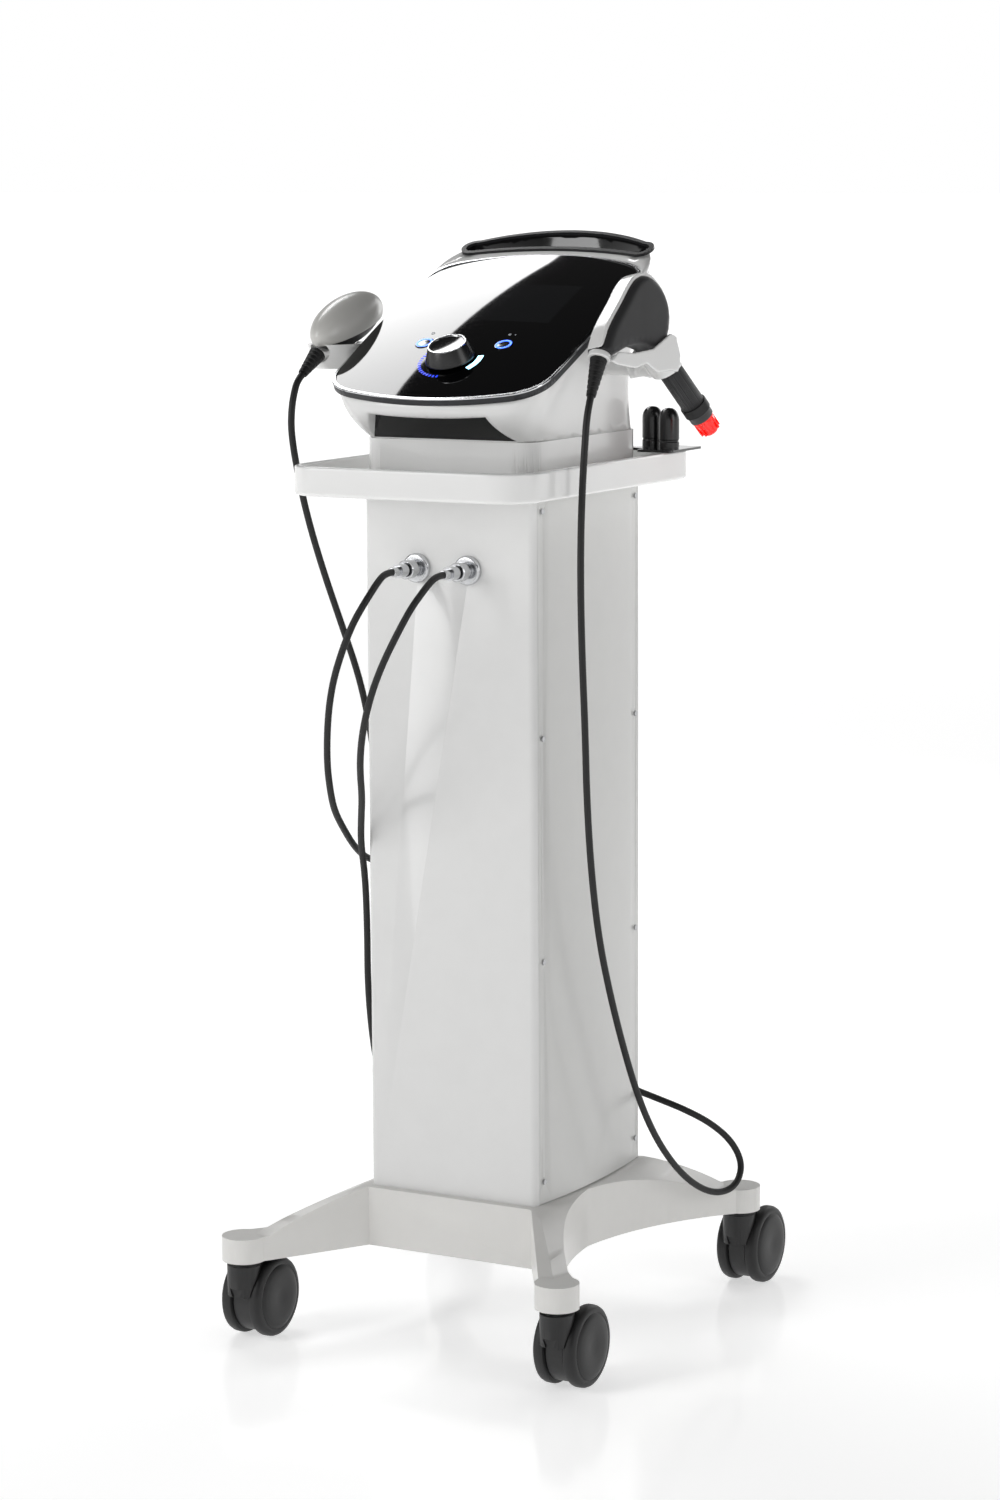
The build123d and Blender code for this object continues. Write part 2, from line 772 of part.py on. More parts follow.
button_depth = 1.0
for name, (x, s) in zip(("button_left", "button_right"), button_local):
    button_top = glass_height(abs(x) - button_diameter / 2, s) + 0.4
    with BuildPart() as button:
        with BuildSketch(panel.offset(button_depth)):
            with Locations((x, s)):
                Circle(button_diameter / 2)
        extrude(amount=button_top - button_depth)
        fillet(button.edges().filter_by(GeomType.CIRCLE).sort_by(Axis(panel_line, panel_normal))[-1], 0.4)
        with BuildSketch(panel.offset(-2.5)):
            with Locations((x, s)):
                Circle(3)
        extrude(amount=2.5 + button_depth)
    finish(button.part, name)

with BuildPart() as button_switches:
    with BuildSketch(panel.offset(-bezel_depth)):
        with Locations(*button_local):
            Circle(6)
    extrude(amount=bezel_depth - 2.5 - button_travel - 0.2)
finish(button_switches.part, "button_switches")

# ---------------------------------------------------------------- well on top of the console
with BuildPart() as well_bowl:
    loft([well_face(0, 0).faces()[0], well_floor(wall).faces()[0]])
    inner_top = well_face(well_rim_width * 0.6, 0.01).faces()[0]
    loft([inner_top, well_floor(0).faces()[0]], mode=Mode.SUBTRACT)
finish(well_bowl.part, "well_bowl")

with BuildPart() as well_rim:
    extrude(well_face(-1.5, 0), amount=3.5)
    extrude(well_face(well_rim_width * 0.6, -1), amount=6, mode=Mode.SUBTRACT)
finish(well_rim.part, "well_rim")

# ---------------------------------------------------------------- sockets and plugs
front_face = -half_depth
with BuildPart() as sockets:
    for x in socket_xs.values():
        with BuildSketch(Plane.XZ.offset(-front_face)):
            with Locations((x, socket_height)):
                Circle(flange_diameter / 2)
                Circle(plug_diameter / 2, mode=Mode.SUBTRACT)
        extrude(amount=flange_thickness)
        with BuildSketch(Plane.XZ.offset(-front_face - 18)):
            with Locations((x, socket_height)):
                Circle(plug_diameter / 2 + 2)
                Circle(plug_diameter / 2, mode=Mode.SUBTRACT)
        extrude(amount=18)
    chamfer(sockets.faces().sort_by(Axis.Y)[:2].edges().filter_by(lambda e: e.radius > 15), 2)
finish(sockets.part, "sockets")

plug_face = front_face - flange_thickness
collar_start = plug_face - 9
collar_bore = plug_diameter / 2 - 1.5
for side_name, x in socket_xs.items():
    with BuildPart() as plug:
        with BuildSketch(Plane.XZ.offset(-front_face - 16)):
            with Locations((x, socket_height)):
                Circle(plug_diameter / 2)
        extrude(amount=16 + flange_thickness + 9)
        with BuildSketch(Plane.XZ.offset(-collar_start)):
            with Locations((x, socket_height)):
                Circle(collar_bore)
        extrude(amount=collar_length + collar_travel + 1)
        with BuildSketch(Plane.XZ.offset(-collar_start + collar_length + collar_travel + 1)):
            with Locations((x, socket_height)):
                Circle(plug_diameter / 2)
        extrude(amount=plug_length - 9 - collar_length - collar_travel - 1 - 6)
        with BuildSketch(Plane.XZ.offset(-plug_face + plug_length - 6)):
            with Locations((x, socket_height)):
                Circle(cord_diameter / 2 + 1.6)
        extrude(amount=14)
        fillet(plug.edges().group_by(Axis.Y)[0], 1.0)
    finish(plug.part, f"plug_{side_name}")

    with BuildPart() as plug_collar:
        with BuildSketch(Plane.XZ.offset(-collar_start)):
            with Locations((x, socket_height)):
                Circle(collar_diameter / 2)
                Circle(collar_bore + running_clearance, mode=Mode.SUBTRACT)
        extrude(amount=collar_length)
        outer_edges = plug_collar.edges().filter_by(GeomType.CIRCLE)
        chamfer(outer_edges.filter_by(lambda e: e.radius > collar_bore + 1), 1.0)
    finish(plug_collar.part, f"plug_collar_{side_name}")

cord_exit_y = plug_face - plug_length - 8

# ---------------------------------------------------------------- right handpiece and holder
grip_outline = (
    (-7, -97),
    (-15, -60),
    (-16, -15),
    (-15, 22),
    (-4, 42),
    (20, 50),
    (44, 43),
    (60, 24),
    (barrel_start + 6, 9),
    (barrel_start + 6, -21),
    (42, -32),
    (18, -68),
    (8, -92),
)
spine_outline = (
    (-11, -97),
    (-19.5, -60),
    (-20.5, -15),
    (-19.5, 24),
    (-7, 46),
    (20, 55),
    (47, 47),
    (64, 27),
    (barrel_start + 7, 15),
)
spine_half = 11.0
neck_point = (0.5, -94.5)
neck_ring_diameter = 28.0
neck_ring_length = 7.0
relief_length = 50.0

with BuildPart() as handpiece_right_grip:
    with BuildSketch(grip.offset(-grip_half)):
        with BuildLine():
            Spline(*grip_outline[:9])
            Line(grip_outline[8], grip_outline[9])
            Spline(*grip_outline[9:])
            Line(grip_outline[-1], grip_outline[0])
        make_face()
    extrude(amount=2 * grip_half)
    long_edges = handpiece_right_grip.edges().filter_by(GeomType.BSPLINE)
    chamfer(long_edges, 5)
finish(handpiece_right_grip.part, "handpiece_right_grip")

with BuildPart() as handpiece_right_spine:
    with BuildSketch(grip.offset(-spine_half)):
        with BuildLine():
            Spline(*spine_outline)
            Polyline(spine_outline[-1], (barrel_start, 5), (20, 20), (0, -40), spine_outline[0])
        make_face()
    extrude(amount=2 * spine_half)
    add(handpiece_right_grip.part, mode=Mode.SUBTRACT)
    for part_left in handpiece_right_spine.solids().sort_by(SortBy.VOLUME)[:-1]:
        add(part_left, mode=Mode.SUBTRACT)
finish(handpiece_right_spine.part, "handpiece_right_spine")

barrel_plane = Plane(
    grip.from_local_coords((barrel_start + 6, barrel_offset, 0)), x_dir=grip.z_dir, z_dir=grip.x_dir
)
barrel_length = barrel_end - barrel_start - 6
with BuildPart() as handpiece_right_barrel:
    with BuildSketch(barrel_plane):
        Circle(barrel_diameter / 2)
    extrude(amount=barrel_length)
finish(handpiece_right_barrel.part, "handpiece_right_barrel")

collar_place = barrel_length - 22
with BuildPart() as handpiece_right_collar:
    with BuildSketch(barrel_plane.offset(collar_place)):
        Circle(barrel_diameter / 2 + 1.8)
        Circle(barrel_diameter / 2, mode=Mode.SUBTRACT)
    extrude(amount=12)
finish(handpiece_right_collar.part, "handpiece_right_collar")

with BuildPart() as handpiece_right_tip:
    with BuildSketch(barrel_plane.offset(barrel_length)):
        Circle(barrel_diameter / 2 - 0.6)
    with BuildSketch(barrel_plane.offset(barrel_length + 16)):
        Circle(barrel_diameter / 2 - 3.5)
    loft()
    with BuildSketch(barrel_plane.offset(barrel_length + 16)):
        Circle(barrel_diameter / 2 - 3.5)
    extrude(amount=tip_end - barrel_end - 16)
    fillet(handpiece_right_tip.edges().group_by(Axis(barrel_plane.origin, barrel_plane.z_dir))[-1], 6)
finish(handpiece_right_tip.part, "handpiece_right_tip")

neck_way = (grip_outline[0][1] - grip_outline[-1][1], grip_outline[-1][0] - grip_outline[0][0])
neck_tilt = grip.x_dir * -neck_way[0] + grip.y_dir * -neck_way[1]
neck_plane = Plane(grip.from_local_coords((*neck_point, 0)), x_dir=grip.z_dir, z_dir=neck_tilt)
with BuildPart() as handpiece_right_relief:
    with BuildSketch(neck_plane):
        Circle(neck_ring_diameter / 2)
    extrude(amount=neck_ring_length)
    with BuildSketch(neck_plane.offset(neck_ring_length)):
        Circle(10.5)
    with BuildSketch(neck_plane.offset(neck_ring_length + relief_length)):
        Circle(cord_diameter / 2 + 1.6)
    loft()
finish(handpiece_right_relief.part, "handpiece_right_relief")

# The holder is a channel under the barrel, with an outer cheek that reaches to the neck
channel_bore = grip_half + holder_gap
channel_start = 72.0
channel_end = 100.0
channel_sketch_plane = Plane(
    grip.from_local_coords((channel_start, barrel_offset, 0)), x_dir=grip.z_dir, z_dir=grip.x_dir
)
cheek_outline = (
    (4, -107),
    (7, -88),
    (28, -66),
    (50, -34),
    (62, 8),
    (72, 14),
    (channel_end - 8, 0),
    (channel_end, -20),
    (90, -28),
    (74, -50),
    (52, -58),
    (42, -78),
    (16, -101),
)
with BuildPart() as holder_right:
    with BuildSketch(channel_sketch_plane):
        Circle(channel_bore + holder_wall)
        Circle(channel_bore, mode=Mode.SUBTRACT)
        with Locations((0, 40)):
            Rectangle(80, 80, mode=Mode.INTERSECT)
    extrude(amount=channel_end - channel_start)
    extrude(polygon_face(grip.offset(channel_bore), cheek_outline), amount=holder_wall)
    inner_cheek = ((58, -44), (58, 8), (72, 14), (channel_end - 8, 0), (channel_end, -20), (90, -28), (74, -50))
    extrude(polygon_face(grip.offset(-channel_bore - holder_wall), inner_cheek), amount=holder_wall)
    with BuildSketch(Plane.YZ.offset(118)):
        with Locations((21, 1202)):
            RectangleRounded(42, 24, 6)
    extrude(amount=65)
    with BuildSketch(channel_sketch_plane.offset(-40)):
        Circle(channel_bore)
    extrude(amount=120, mode=Mode.SUBTRACT)
    grip_room = (
        (-24, -112),
        (-24, 62),
        (140, 62),
        (140, barrel_offset),
        (70, barrel_offset),
        (70, -25),
        (46, -37),
        (22, -70),
        (14, -112),
    )
    extrude(
        polygon_face(grip.offset(-channel_bore), grip_room), amount=2 * channel_bore, mode=Mode.SUBTRACT
    )
    add(housing_outer, mode=Mode.SUBTRACT)
    for part_left in holder_right.solids().sort_by(SortBy.VOLUME)[:-1]:
        add(part_left, mode=Mode.SUBTRACT)
finish(holder_right.part, "holder_right")

# ---------------------------------------------------------------- left handpiece and holder
egg_way = Vector(0, cos(radians(egg_tilt)), sin(radians(egg_tilt)))
egg_plane = Plane(egg_middle, x_dir=egg_way, z_dir=(1, 0, 0))
split_level = -9.0
split_gap = 0.4
left_relief_point = (-190.0, -116.0, 1222.0)
left_relief_way = Vector(0, -0.84, -0.54)
left_relief = Plane(left_relief_point, x_dir=(1, 0, 0), z_dir=left_relief_way)
left_relief_length = 54.0


def egg(grow):
    """Egg-shaped solid, round about its long axis, with a small flat at each pole."""
    with BuildPart() as body:
        with BuildSketch(egg_plane):
            Ellipse(egg_half_length + grow, egg_radius + grow)
            Rectangle(
                2 * (egg_half_length - egg_nose + grow),
                egg_radius + grow,
                align=(Align.CENTER, Align.MIN),
                mode=Mode.INTERSECT,
            )
        revolve(axis=Axis(egg_middle, egg_way))
    return body.part


outer_egg = egg(0)
inner_egg = egg(-3)
egg_room = egg(holder_gap)
split_plane = Plane(egg_plane.from_local_coords((0, split_level, 0)), z_dir=egg_plane.y_dir)
with BuildPart() as handpiece_left_shell:
    add(outer_egg)
    split(bisect_by=split_plane, keep=Keep.TOP)
finish(handpiece_left_shell.part, "handpiece_left_shell")

with BuildPart() as handpiece_left_base:
    add(inner_egg)
    split(bisect_by=split_plane, keep=Keep.BOTTOM)
finish(handpiece_left_base.part, "handpiece_left_base")

with BuildPart() as handpiece_left_relief:
    with BuildSketch(left_relief):
        Circle(10.5)
    with BuildSketch(left_relief.offset(left_relief_length)):
        Circle(cord_diameter / 2 + 1.6)
    loft()
    add(handpiece_left_shell.part, mode=Mode.SUBTRACT)
    add(handpiece_left_base.part, mode=Mode.SUBTRACT)
    for part_left in handpiece_left_relief.solids().sort_by(SortBy.VOLUME)[:-1]:
        add(part_left, mode=Mode.SUBTRACT)
finish(handpiece_left_relief.part, "handpiece_left_relief")

cup_low = 1196.0
cup_high = 1226.0
with BuildPart() as holder_left:
    with BuildSketch(Plane.XY.offset(cup_low)):
        with Locations((egg_middle[0], -76)):
            Ellipse(26, 40)
    with BuildSketch(Plane.XY.offset(cup_high)):
        with Locations((egg_middle[0], -76)):
            Ellipse(33, 52)
    loft()
    with BuildSketch(Plane.YZ.offset(-118)):
        with Locations((-72, cup_low + 8)):
            RectangleRounded(40, 15, 5)
    extrude(amount=-60)
    add(housing_outer, mode=Mode.SUBTRACT)
    add(egg_room, mode=Mode.SUBTRACT)
    with BuildSketch(left_relief.offset(-4)):
        Circle(13)
    extrude(amount=80, mode=Mode.SUBTRACT)
    for part_left in holder_left.solids().sort_by(SortBy.VOLUME)[:-1]:
        add(part_left, mode=Mode.SUBTRACT)
finish(holder_left.part, "holder_left")

# ---------------------------------------------------------------- applicator rack on the tray
rack_thickness = 3.0
rack_posts = ((118.0, 174.0), (152.0, 152.0))
post_diameter = 26.0
with BuildPart() as rack_plate:
    with BuildSketch(Plane.XY.offset(tray_top)):
        with Locations((136, console_rear + 34)):
            RectangleRounded(72, 60, 5)
        with Locations((147, console_rear + 6)):
            RectangleRounded(50, 56, 5)
    extrude(amount=rack_thickness)
finish(rack_plate.part, "rack_plate")

with BuildPart() as spare_heads:
    for x, y in rack_posts:
        with BuildSketch(Plane.XY.offset(tray_top + rack_thickness)):
            with Locations((x, y)):
                Circle(post_diameter / 2)
        extrude(amount=40)
        with BuildSketch(Plane.XY.offset(tray_top + rack_thickness + 40)):
            with Locations((x, y)):
                Circle(post_diameter / 2)
        extrude(amount=11, taper=38)
finish(spare_heads.part, "spare_heads")

# ---------------------------------------------------------------- cords
right_start = neck_plane.offset(neck_ring_length + relief_length)
left_start = left_relief.offset(left_relief_length)
straight = 15.0

route_right = (
    tuple(right_start.origin),
    tuple(right_start.offset(straight).origin),
    (187.0, -136.1, 1141.8),
    (187.5, -141, 1114.2),
    (187.5, -147, 1070),
    (187.5, -151.5, 1013),
    (187, -151.5, 943),
    (186, -146, 863),
    (184.5, -136, 775),
    (182.5, -128, 688),
    (180, -113, 602),
    (178.5, -91, 515),
    (178, -61, 440),
    (179, -27, 365),
    (182, 6, 297),
    (187, 40, 241),
    (194, 77, 196),
    (203, 114, 162),
    (214, 150, 141),
    (224, 181, 137),
    (228, 205, 147),
    (225, 219, 168),
    (212, 213, 196),
    (191, 194, 221),
    (163, 174, 240),
    (128, 166, 252),
    (88, 166, 262),
    (45, 169, 277),
    (0, 171, 299),
    (-45, 171, 328),
    (-92, 169, 365),
    (-126, 157, 405),
    (-140, 130, 447),
    (-139, 90, 487),
    (-136, 45, 522),
    (-138, -3, 550),
    (-145, -50, 570),
    (-150, -91, 585),
    (-144, -128, 605),
    (-138, -163, 633),
    (-132, -195, 662),
    (-123, -219, 692),
    (-116, -237, 730),
    (-103, -255, 786),
    (-88, -267, 832),
    (-71, -272, 872),
    (-58, -269, 904),
    (-49.5, -259, 925),
    (-45, -247, 940),
    (-43, -233.5, 952),
    (socket_xs["left"], cord_exit_y - straight, socket_height),
    (socket_xs["left"], cord_exit_y, socket_height),
)
route_left = (
    tuple(left_start.origin),
    tuple(left_start.offset(straight).origin),
    (-190, -181, 1173),
    (-190, -188, 1154),
    (-190, -190.5, 1125),
    (-189, -181, 1082),
    (-186, -163, 1020),
    (-179, -138, 950),
    (-166, -116, 880),
    (-151, -99, 812),
    (-146, -82, 743),
    (-150, -57, 660),
    (-154, -22, 575),
    (-155, 18, 490),
    (-155, 55, 410),
    (-154, 80, 348),
    (-154, 82, 300),
    (-155, 62, 262),
    (-156, 22, 244),
    (-156, -21, 254),
    (-155, -53, 289),
    (-153, -74, 345),
    (-150, -90, 418),
    (-142, -103, 497),
    (-135, -118, 566),
    (-126, -143, 614),
    (-108, -171, 652),
    (-89, -200, 683),
    (-74, -229, 719),
    (-59, -252, 751),
    (-43, -270, 785),
    (-26, -281, 823),
    (-9, -283, 860),
    (7, -275, 896),
    (17.5, -262, 924),
    (23.5, -248.5, 940),
    (26.5, -233.5, 952),
    (socket_xs["right"], cord_exit_y - straight, socket_height),
    (socket_xs["right"], cord_exit_y, socket_height),
)


def make_cord(route, name):
    """Round cord along straight runs joined by tangent arcs."""
    points = [Vector(p) for p in route]
    runs = [b - a for a, b in zip(points, points[1:])]
    radii = []
    for before, after in zip(runs, runs[1:]):
        shorter = min(before.length, after.length)
        radii.append(0.45 * shorter / tan(radians(before.get_angle(after)) / 2))
    with BuildPart() as cord:
        with BuildLine() as path:
            FilletPolyline(*points, radius=radii)
        with BuildSketch(Plane(points[0], z_dir=runs[0])):
            Circle(cord_diameter / 2)
        sweep()
    length = path.wires()[0].length
    section = 3.14159265 * cord_diameter**2 / 4
    print(name, "length", round(length), "radii", [round(r) for r in radii])
    print("  runs", [round(run.length) for run in runs])
    print("  volume", round(cord.part.volume), "section times length", round(section * length))
    finish(cord.part, name)


make_cord(route_right, "cord_right")
make_cord(route_left, "cord_left")
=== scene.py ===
# %% [markdown]
# # A therapy console on a castor column
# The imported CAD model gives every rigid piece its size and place. This lesson dresses it: a
# studio, a camera, two hanging cords, and then each finish and each detailed piece in turn.
# Everything is in metres, with +Z up and the front of the cart facing -Y.

# %% Load the frame
import json
from math import cos, pi, radians, sin, sqrt

import bmesh
import bpy
from mathutils import Matrix, Vector

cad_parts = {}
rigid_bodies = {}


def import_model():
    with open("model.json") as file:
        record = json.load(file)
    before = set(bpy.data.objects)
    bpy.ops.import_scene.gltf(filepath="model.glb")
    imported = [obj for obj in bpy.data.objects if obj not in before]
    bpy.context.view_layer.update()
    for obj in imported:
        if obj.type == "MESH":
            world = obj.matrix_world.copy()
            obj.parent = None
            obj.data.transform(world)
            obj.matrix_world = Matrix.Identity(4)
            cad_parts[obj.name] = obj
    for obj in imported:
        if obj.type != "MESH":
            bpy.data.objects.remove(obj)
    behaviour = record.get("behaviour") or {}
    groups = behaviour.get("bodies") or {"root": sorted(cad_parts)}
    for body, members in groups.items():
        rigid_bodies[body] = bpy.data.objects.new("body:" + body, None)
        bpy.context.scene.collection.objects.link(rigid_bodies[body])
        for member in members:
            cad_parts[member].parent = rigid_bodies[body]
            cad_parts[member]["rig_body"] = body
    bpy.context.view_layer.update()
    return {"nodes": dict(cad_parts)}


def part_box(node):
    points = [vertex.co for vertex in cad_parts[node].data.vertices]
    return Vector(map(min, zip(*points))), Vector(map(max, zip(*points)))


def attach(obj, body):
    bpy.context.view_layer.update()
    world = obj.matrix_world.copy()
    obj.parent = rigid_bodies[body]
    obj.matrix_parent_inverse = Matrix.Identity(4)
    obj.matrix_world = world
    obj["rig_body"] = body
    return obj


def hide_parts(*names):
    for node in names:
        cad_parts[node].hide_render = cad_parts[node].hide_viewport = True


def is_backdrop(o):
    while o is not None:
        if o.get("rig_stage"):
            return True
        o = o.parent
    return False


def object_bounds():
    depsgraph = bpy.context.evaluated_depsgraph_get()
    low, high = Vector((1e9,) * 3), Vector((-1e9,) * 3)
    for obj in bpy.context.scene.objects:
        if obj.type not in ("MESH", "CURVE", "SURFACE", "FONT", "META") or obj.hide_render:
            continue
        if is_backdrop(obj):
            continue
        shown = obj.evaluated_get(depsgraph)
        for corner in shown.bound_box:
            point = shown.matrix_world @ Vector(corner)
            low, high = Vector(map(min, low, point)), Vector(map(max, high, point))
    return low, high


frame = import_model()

print("pieces in the frame:", len(frame["nodes"]))

# %% [markdown]
# ## Camera
# The cart is seen from its right front, a little above the panel, with a long lens, so upright
# edges stay almost parallel. The camera's place and turn were fitted to the cart's straight edges.

# %% Camera
camera_place = Vector((2.3370, -4.2193, 1.4577))
camera_turn = radians(29.06)
camera_dip = radians(8.7)
camera_roll = radians(-0.31)
sensor_side = 36.0
focal_in_frame_heights = 3903.5 / 1500
look = Vector((-sin(camera_turn) * cos(camera_dip), cos(camera_turn) * cos(camera_dip), -sin(camera_dip)))
camera_data = bpy.data.cameras.new("camera")
camera_data.sensor_width = sensor_side
camera_data.sensor_height = sensor_side
camera_data.lens = focal_in_frame_heights * sensor_side
camera = bpy.data.objects.new("camera", camera_data)
bpy.context.scene.collection.objects.link(camera)
camera.matrix_world = (
    Matrix.Translation(camera_place)
    @ look.to_track_quat("-Z", "Y").to_matrix().to_4x4()
    @ Matrix.Rotation(camera_roll, 4, "Z")
)
bpy.context.scene.camera = camera
bpy.context.scene.view_settings.view_transform = "Standard"

# %% [markdown]
# ## Materials: the small tools
# Colours are written as sRGB hex, as a paint card gives them, and turned to linear light here.
# One function adds a node with its settings and links, and every finish is built with it.

# %% Material tools
def linear(code):
    """Linear RGBA from an sRGB hex colour."""
    values = [int(code[i : i + 2], 16) / 255 for i in (0, 2, 4)]
    return [v / 12.92 if v <= 0.04045 else ((v + 0.055) / 1.055) ** 2.4 for v in values] + [1.0]


def add(material, kind, settings=(), **links):
    """A node of that kind, with settings on its properties or sockets, and its inputs linked."""
    tree = material.node_tree
    node = tree.nodes.new(kind)
    for key, value in dict(settings).items():
        if hasattr(node, key):
            setattr(node, key, value)
        else:
            node.inputs[key].default_value = value
    for key, output in links.items():
        tree.links.new(output, node.inputs[key.replace("_", " ")])
    return node


def finish_of(name, colour, roughness, metallic=0.0, ior=1.5, **more):
    """A material with one principled shader; more are that shader's sockets by name."""
    material = bpy.data.materials.new(name)
    material.use_nodes = True
    shader = material.node_tree.nodes["Principled BSDF"]
    shader.inputs["Base Color"].default_value = linear(colour)
    shader.inputs["Roughness"].default_value = roughness
    shader.inputs["Metallic"].default_value = metallic
    if metallic == 0:
        shader.inputs["IOR"].default_value = ior
    for key, value in more.items():
        shader.inputs[key.replace("_", " ")].default_value = value
    return material, shader


def grain(material, shader, size, height, spread=0.0, colours=None, detail=3.0):
    """Fine relief and an uneven gloss or tint from noise, sized in metres."""
    place = add(material, "ShaderNodeTexCoord")
    noise = add(
        material, "ShaderNodeTexNoise", {"Scale": 1 / size, "Detail": detail}, Vector=place.outputs["Object"]
    )
    bump = add(
        material,
        "ShaderNodeBump",
        {"Strength": 1.0, "Distance": height},
        Height=noise.outputs["Fac"],
    )
    tree = material.node_tree
    tree.links.new(bump.outputs["Normal"], shader.inputs["Normal"])
    base = shader.inputs["Roughness"].default_value
    if spread:
        wide = add(
            material,
            "ShaderNodeTexNoise",
            {"Scale": 1 / (size * 40), "Detail": 4.0},
            Vector=place.outputs["Object"],
        )
        gloss = add(
            material,
            "ShaderNodeMapRange",
            {"To Min": base - spread, "To Max": base + spread},
            Value=wide.outputs["Fac"],
        )
        tree.links.new(gloss.outputs["Result"], shader.inputs["Roughness"])
    if colours:
        tint = add(
            material,
            "ShaderNodeTexNoise",
            {"Scale": 1 / (size * 25), "Detail": 4.0},
            Vector=place.outputs["Object"],
        )
        ramp = add(material, "ShaderNodeValToRGB", {}, Fac=tint.outputs["Fac"])
        ramp.color_ramp.elements[0].position = 0.3
        ramp.color_ramp.elements[1].position = 0.7
        ramp.color_ramp.elements[0].color = linear(colours[0])
        ramp.color_ramp.elements[1].color = linear(colours[1])
        tree.links.new(ramp.outputs["Color"], shader.inputs["Base Color"])
    return material


# %% [markdown]
# ## Finishes
# Gloss white is a sprayed two-pack paint: its faint orange peel has waves of a few millimetres.
# Satin white on the base is powder coat, with a finer and rougher skin. The sheet sides and the
# rear shell take the same coat made a shade greyer: painted shade, for sides that stand darker
# than the front. Moulded ABS has a spark-eroded texture of a fifth of a millimetre, drawn here at
# half a millimetre so that it shows.

# %% Finishes
def painted(name, colours, roughness, size, height, coat):
    material, shader = finish_of(name, colours[0], roughness, Coat_Weight=coat, Coat_Roughness=0.06)
    return grain(material, shader, size, height, 0.012, colours)


gloss_white = painted("gloss_white_two_pack", ("EFEFEE", "EDEDEC"), 0.2, 0.0035, 0.00001, 0.35)
base_white = painted("satin_white_powder_coat", ("E3E2DF", "E1E0DD"), 0.36, 0.0008, 0.00002, 0.1)
front_white = painted("satin_white_column_lacquer", ("E6E6E5", "E4E4E3"), 0.26, 0.0012, 0.000006, 0.25)
# Painted shade: the sheet sides and the rear shell take the white coat made a shade greyer.
side_painted_shade_grey = painted("sheet_lacquer_painted_shade_grey", ("D4D4D2", "D2D2D0"), 0.3, 0.0012, 0.000006, 0.15)
shell_grey = painted("warm_grey_moulded_shell", ("CFCECA", "CBCAC6"), 0.3, 0.0009, 0.00001, 0.1)


def moulded(name, colours, roughness, size=0.0005, height=0.00003, **more):
    material, shader = finish_of(name, colours[0], roughness, **more)
    return grain(material, shader, size, height, 0.05, colours)


soft_charcoal = moulded("soft_touch_charcoal", ("1F1F21", "1A1A1C"), 0.55, 0.0006, 0.00003, Sheen_Weight=0.15)
black_abs = moulded("black_moulded_abs", ("121213", "0E0E0F"), 0.42)
castor_black = moulded("castor_black_nylon", ("121213", "0E0E0F"), 0.4, 0.0006, 0.00003)
tread_black = moulded("tread_black_polyurethane", ("151516", "101011"), 0.5, 0.0012, 0.00004)
relief_black = moulded("strain_relief_rubber", ("111112", "0D0D0E"), 0.55)
rim_grey = moulded("well_rim_textured_grey", ("202022", "19191B"), 0.5, 0.001, 0.00006)
bezel_grey = moulded("bezel_dark_grey", ("2B2C2F", "252629"), 0.38, 0.0006, 0.00002)
gloss_black = moulded(
    "gloss_black_moulding", ("0A0A0B", "070708"), 0.1, 0.002, 0.000005, Coat_Weight=0.5, Coat_Roughness=0.04
)
post_black = moulded("spare_head_black", ("141416", "0F0F10"), 0.25, 0.001, 0.00001)
board_green = moulded("glass_epoxy_board", ("1F5B37", "184A2C"), 0.4, 0.0008, 0.00003)
frame_dark = moulded("frame_grey_paint", ("4B4C4F", "424346"), 0.45, 0.001, 0.00003)


def metal(name, colour, roughness, size, height):
    material, shader = finish_of(name, colour, roughness, metallic=1.0)
    return grain(material, shader, size, height, 0.04)


chrome = metal("nickel_plated_brass", "C9CACC", 0.18, 0.0012, 0.000004)
satin_steel = metal("satin_stainless_steel", "B9BABC", 0.3, 0.0006, 0.00001)
cast_metal = metal("cast_aluminium_skin", "A5A7AA", 0.45, 0.0015, 0.00004)
trim_silver = metal("silver_trim_lip", "D6D7D9", 0.2, 0.001, 0.000004)

# The red cap also glows faintly: a painted glow that stands in for light scattered through the translucent
# plastic.
red_cap_painted_glow, red_shader = finish_of(
    "red_polycarbonate_painted_glow",
    "F2190C",
    0.16,
    ior=1.58,
    Transmission_Weight=0.35,
    Subsurface_Weight=0.3,
    Coat_Weight=0.3,
    Emission_Color=linear("FF1A08"),
    Emission_Strength=0.25,
)
red_shader.inputs["Subsurface Radius"].default_value = (0.012, 0.003, 0.002)
grain(red_cap_painted_glow, red_shader, 0.0015, 0.00001, 0.03)


def lit(name, colour, strength):
    material, shader = finish_of(name, colour, 0.3, Emission_Color=linear(colour), Emission_Strength=strength)
    return grain(material, shader, 0.001, 0.000005)


blue_light = lit("blue_lit_ring", "2C63FF", 3.2)
deep_blue_light = lit("deep_blue_tick", "1238F0", 1.8)
pale_light = lit("pale_blue_lit_arc", "9CE4FF", 4.0)
# Painted glow: the printed marks get a faint emission, though print gives no light.
icon_grey_painted_glow = lit("pale_printed_mark_painted_glow", "8F959C", 0.25)
print("finishes:", len(bpy.data.materials))

# %% [markdown]
# ## Cover glass
# The panel's cover glass is printed black on its back, so it is a black body under a clear, very
# smooth surface. Behind its upper part lies the unlit display, a barely lighter rectangle. A
# Mapping node turns the pattern into the panel's own plane, where the rectangle is square.

# %% Panel plane and glass
panel_tilt = radians(25.8)
panel_origin = Vector((0.0, -0.154, 1.1938))
panel_up = Vector((0.0, cos(panel_tilt), sin(panel_tilt)))
panel_normal = Vector((0.0, -sin(panel_tilt), cos(panel_tilt)))
glass_radius = 1.9561
glass_middle = 0.130
glass_crown = 0.0095


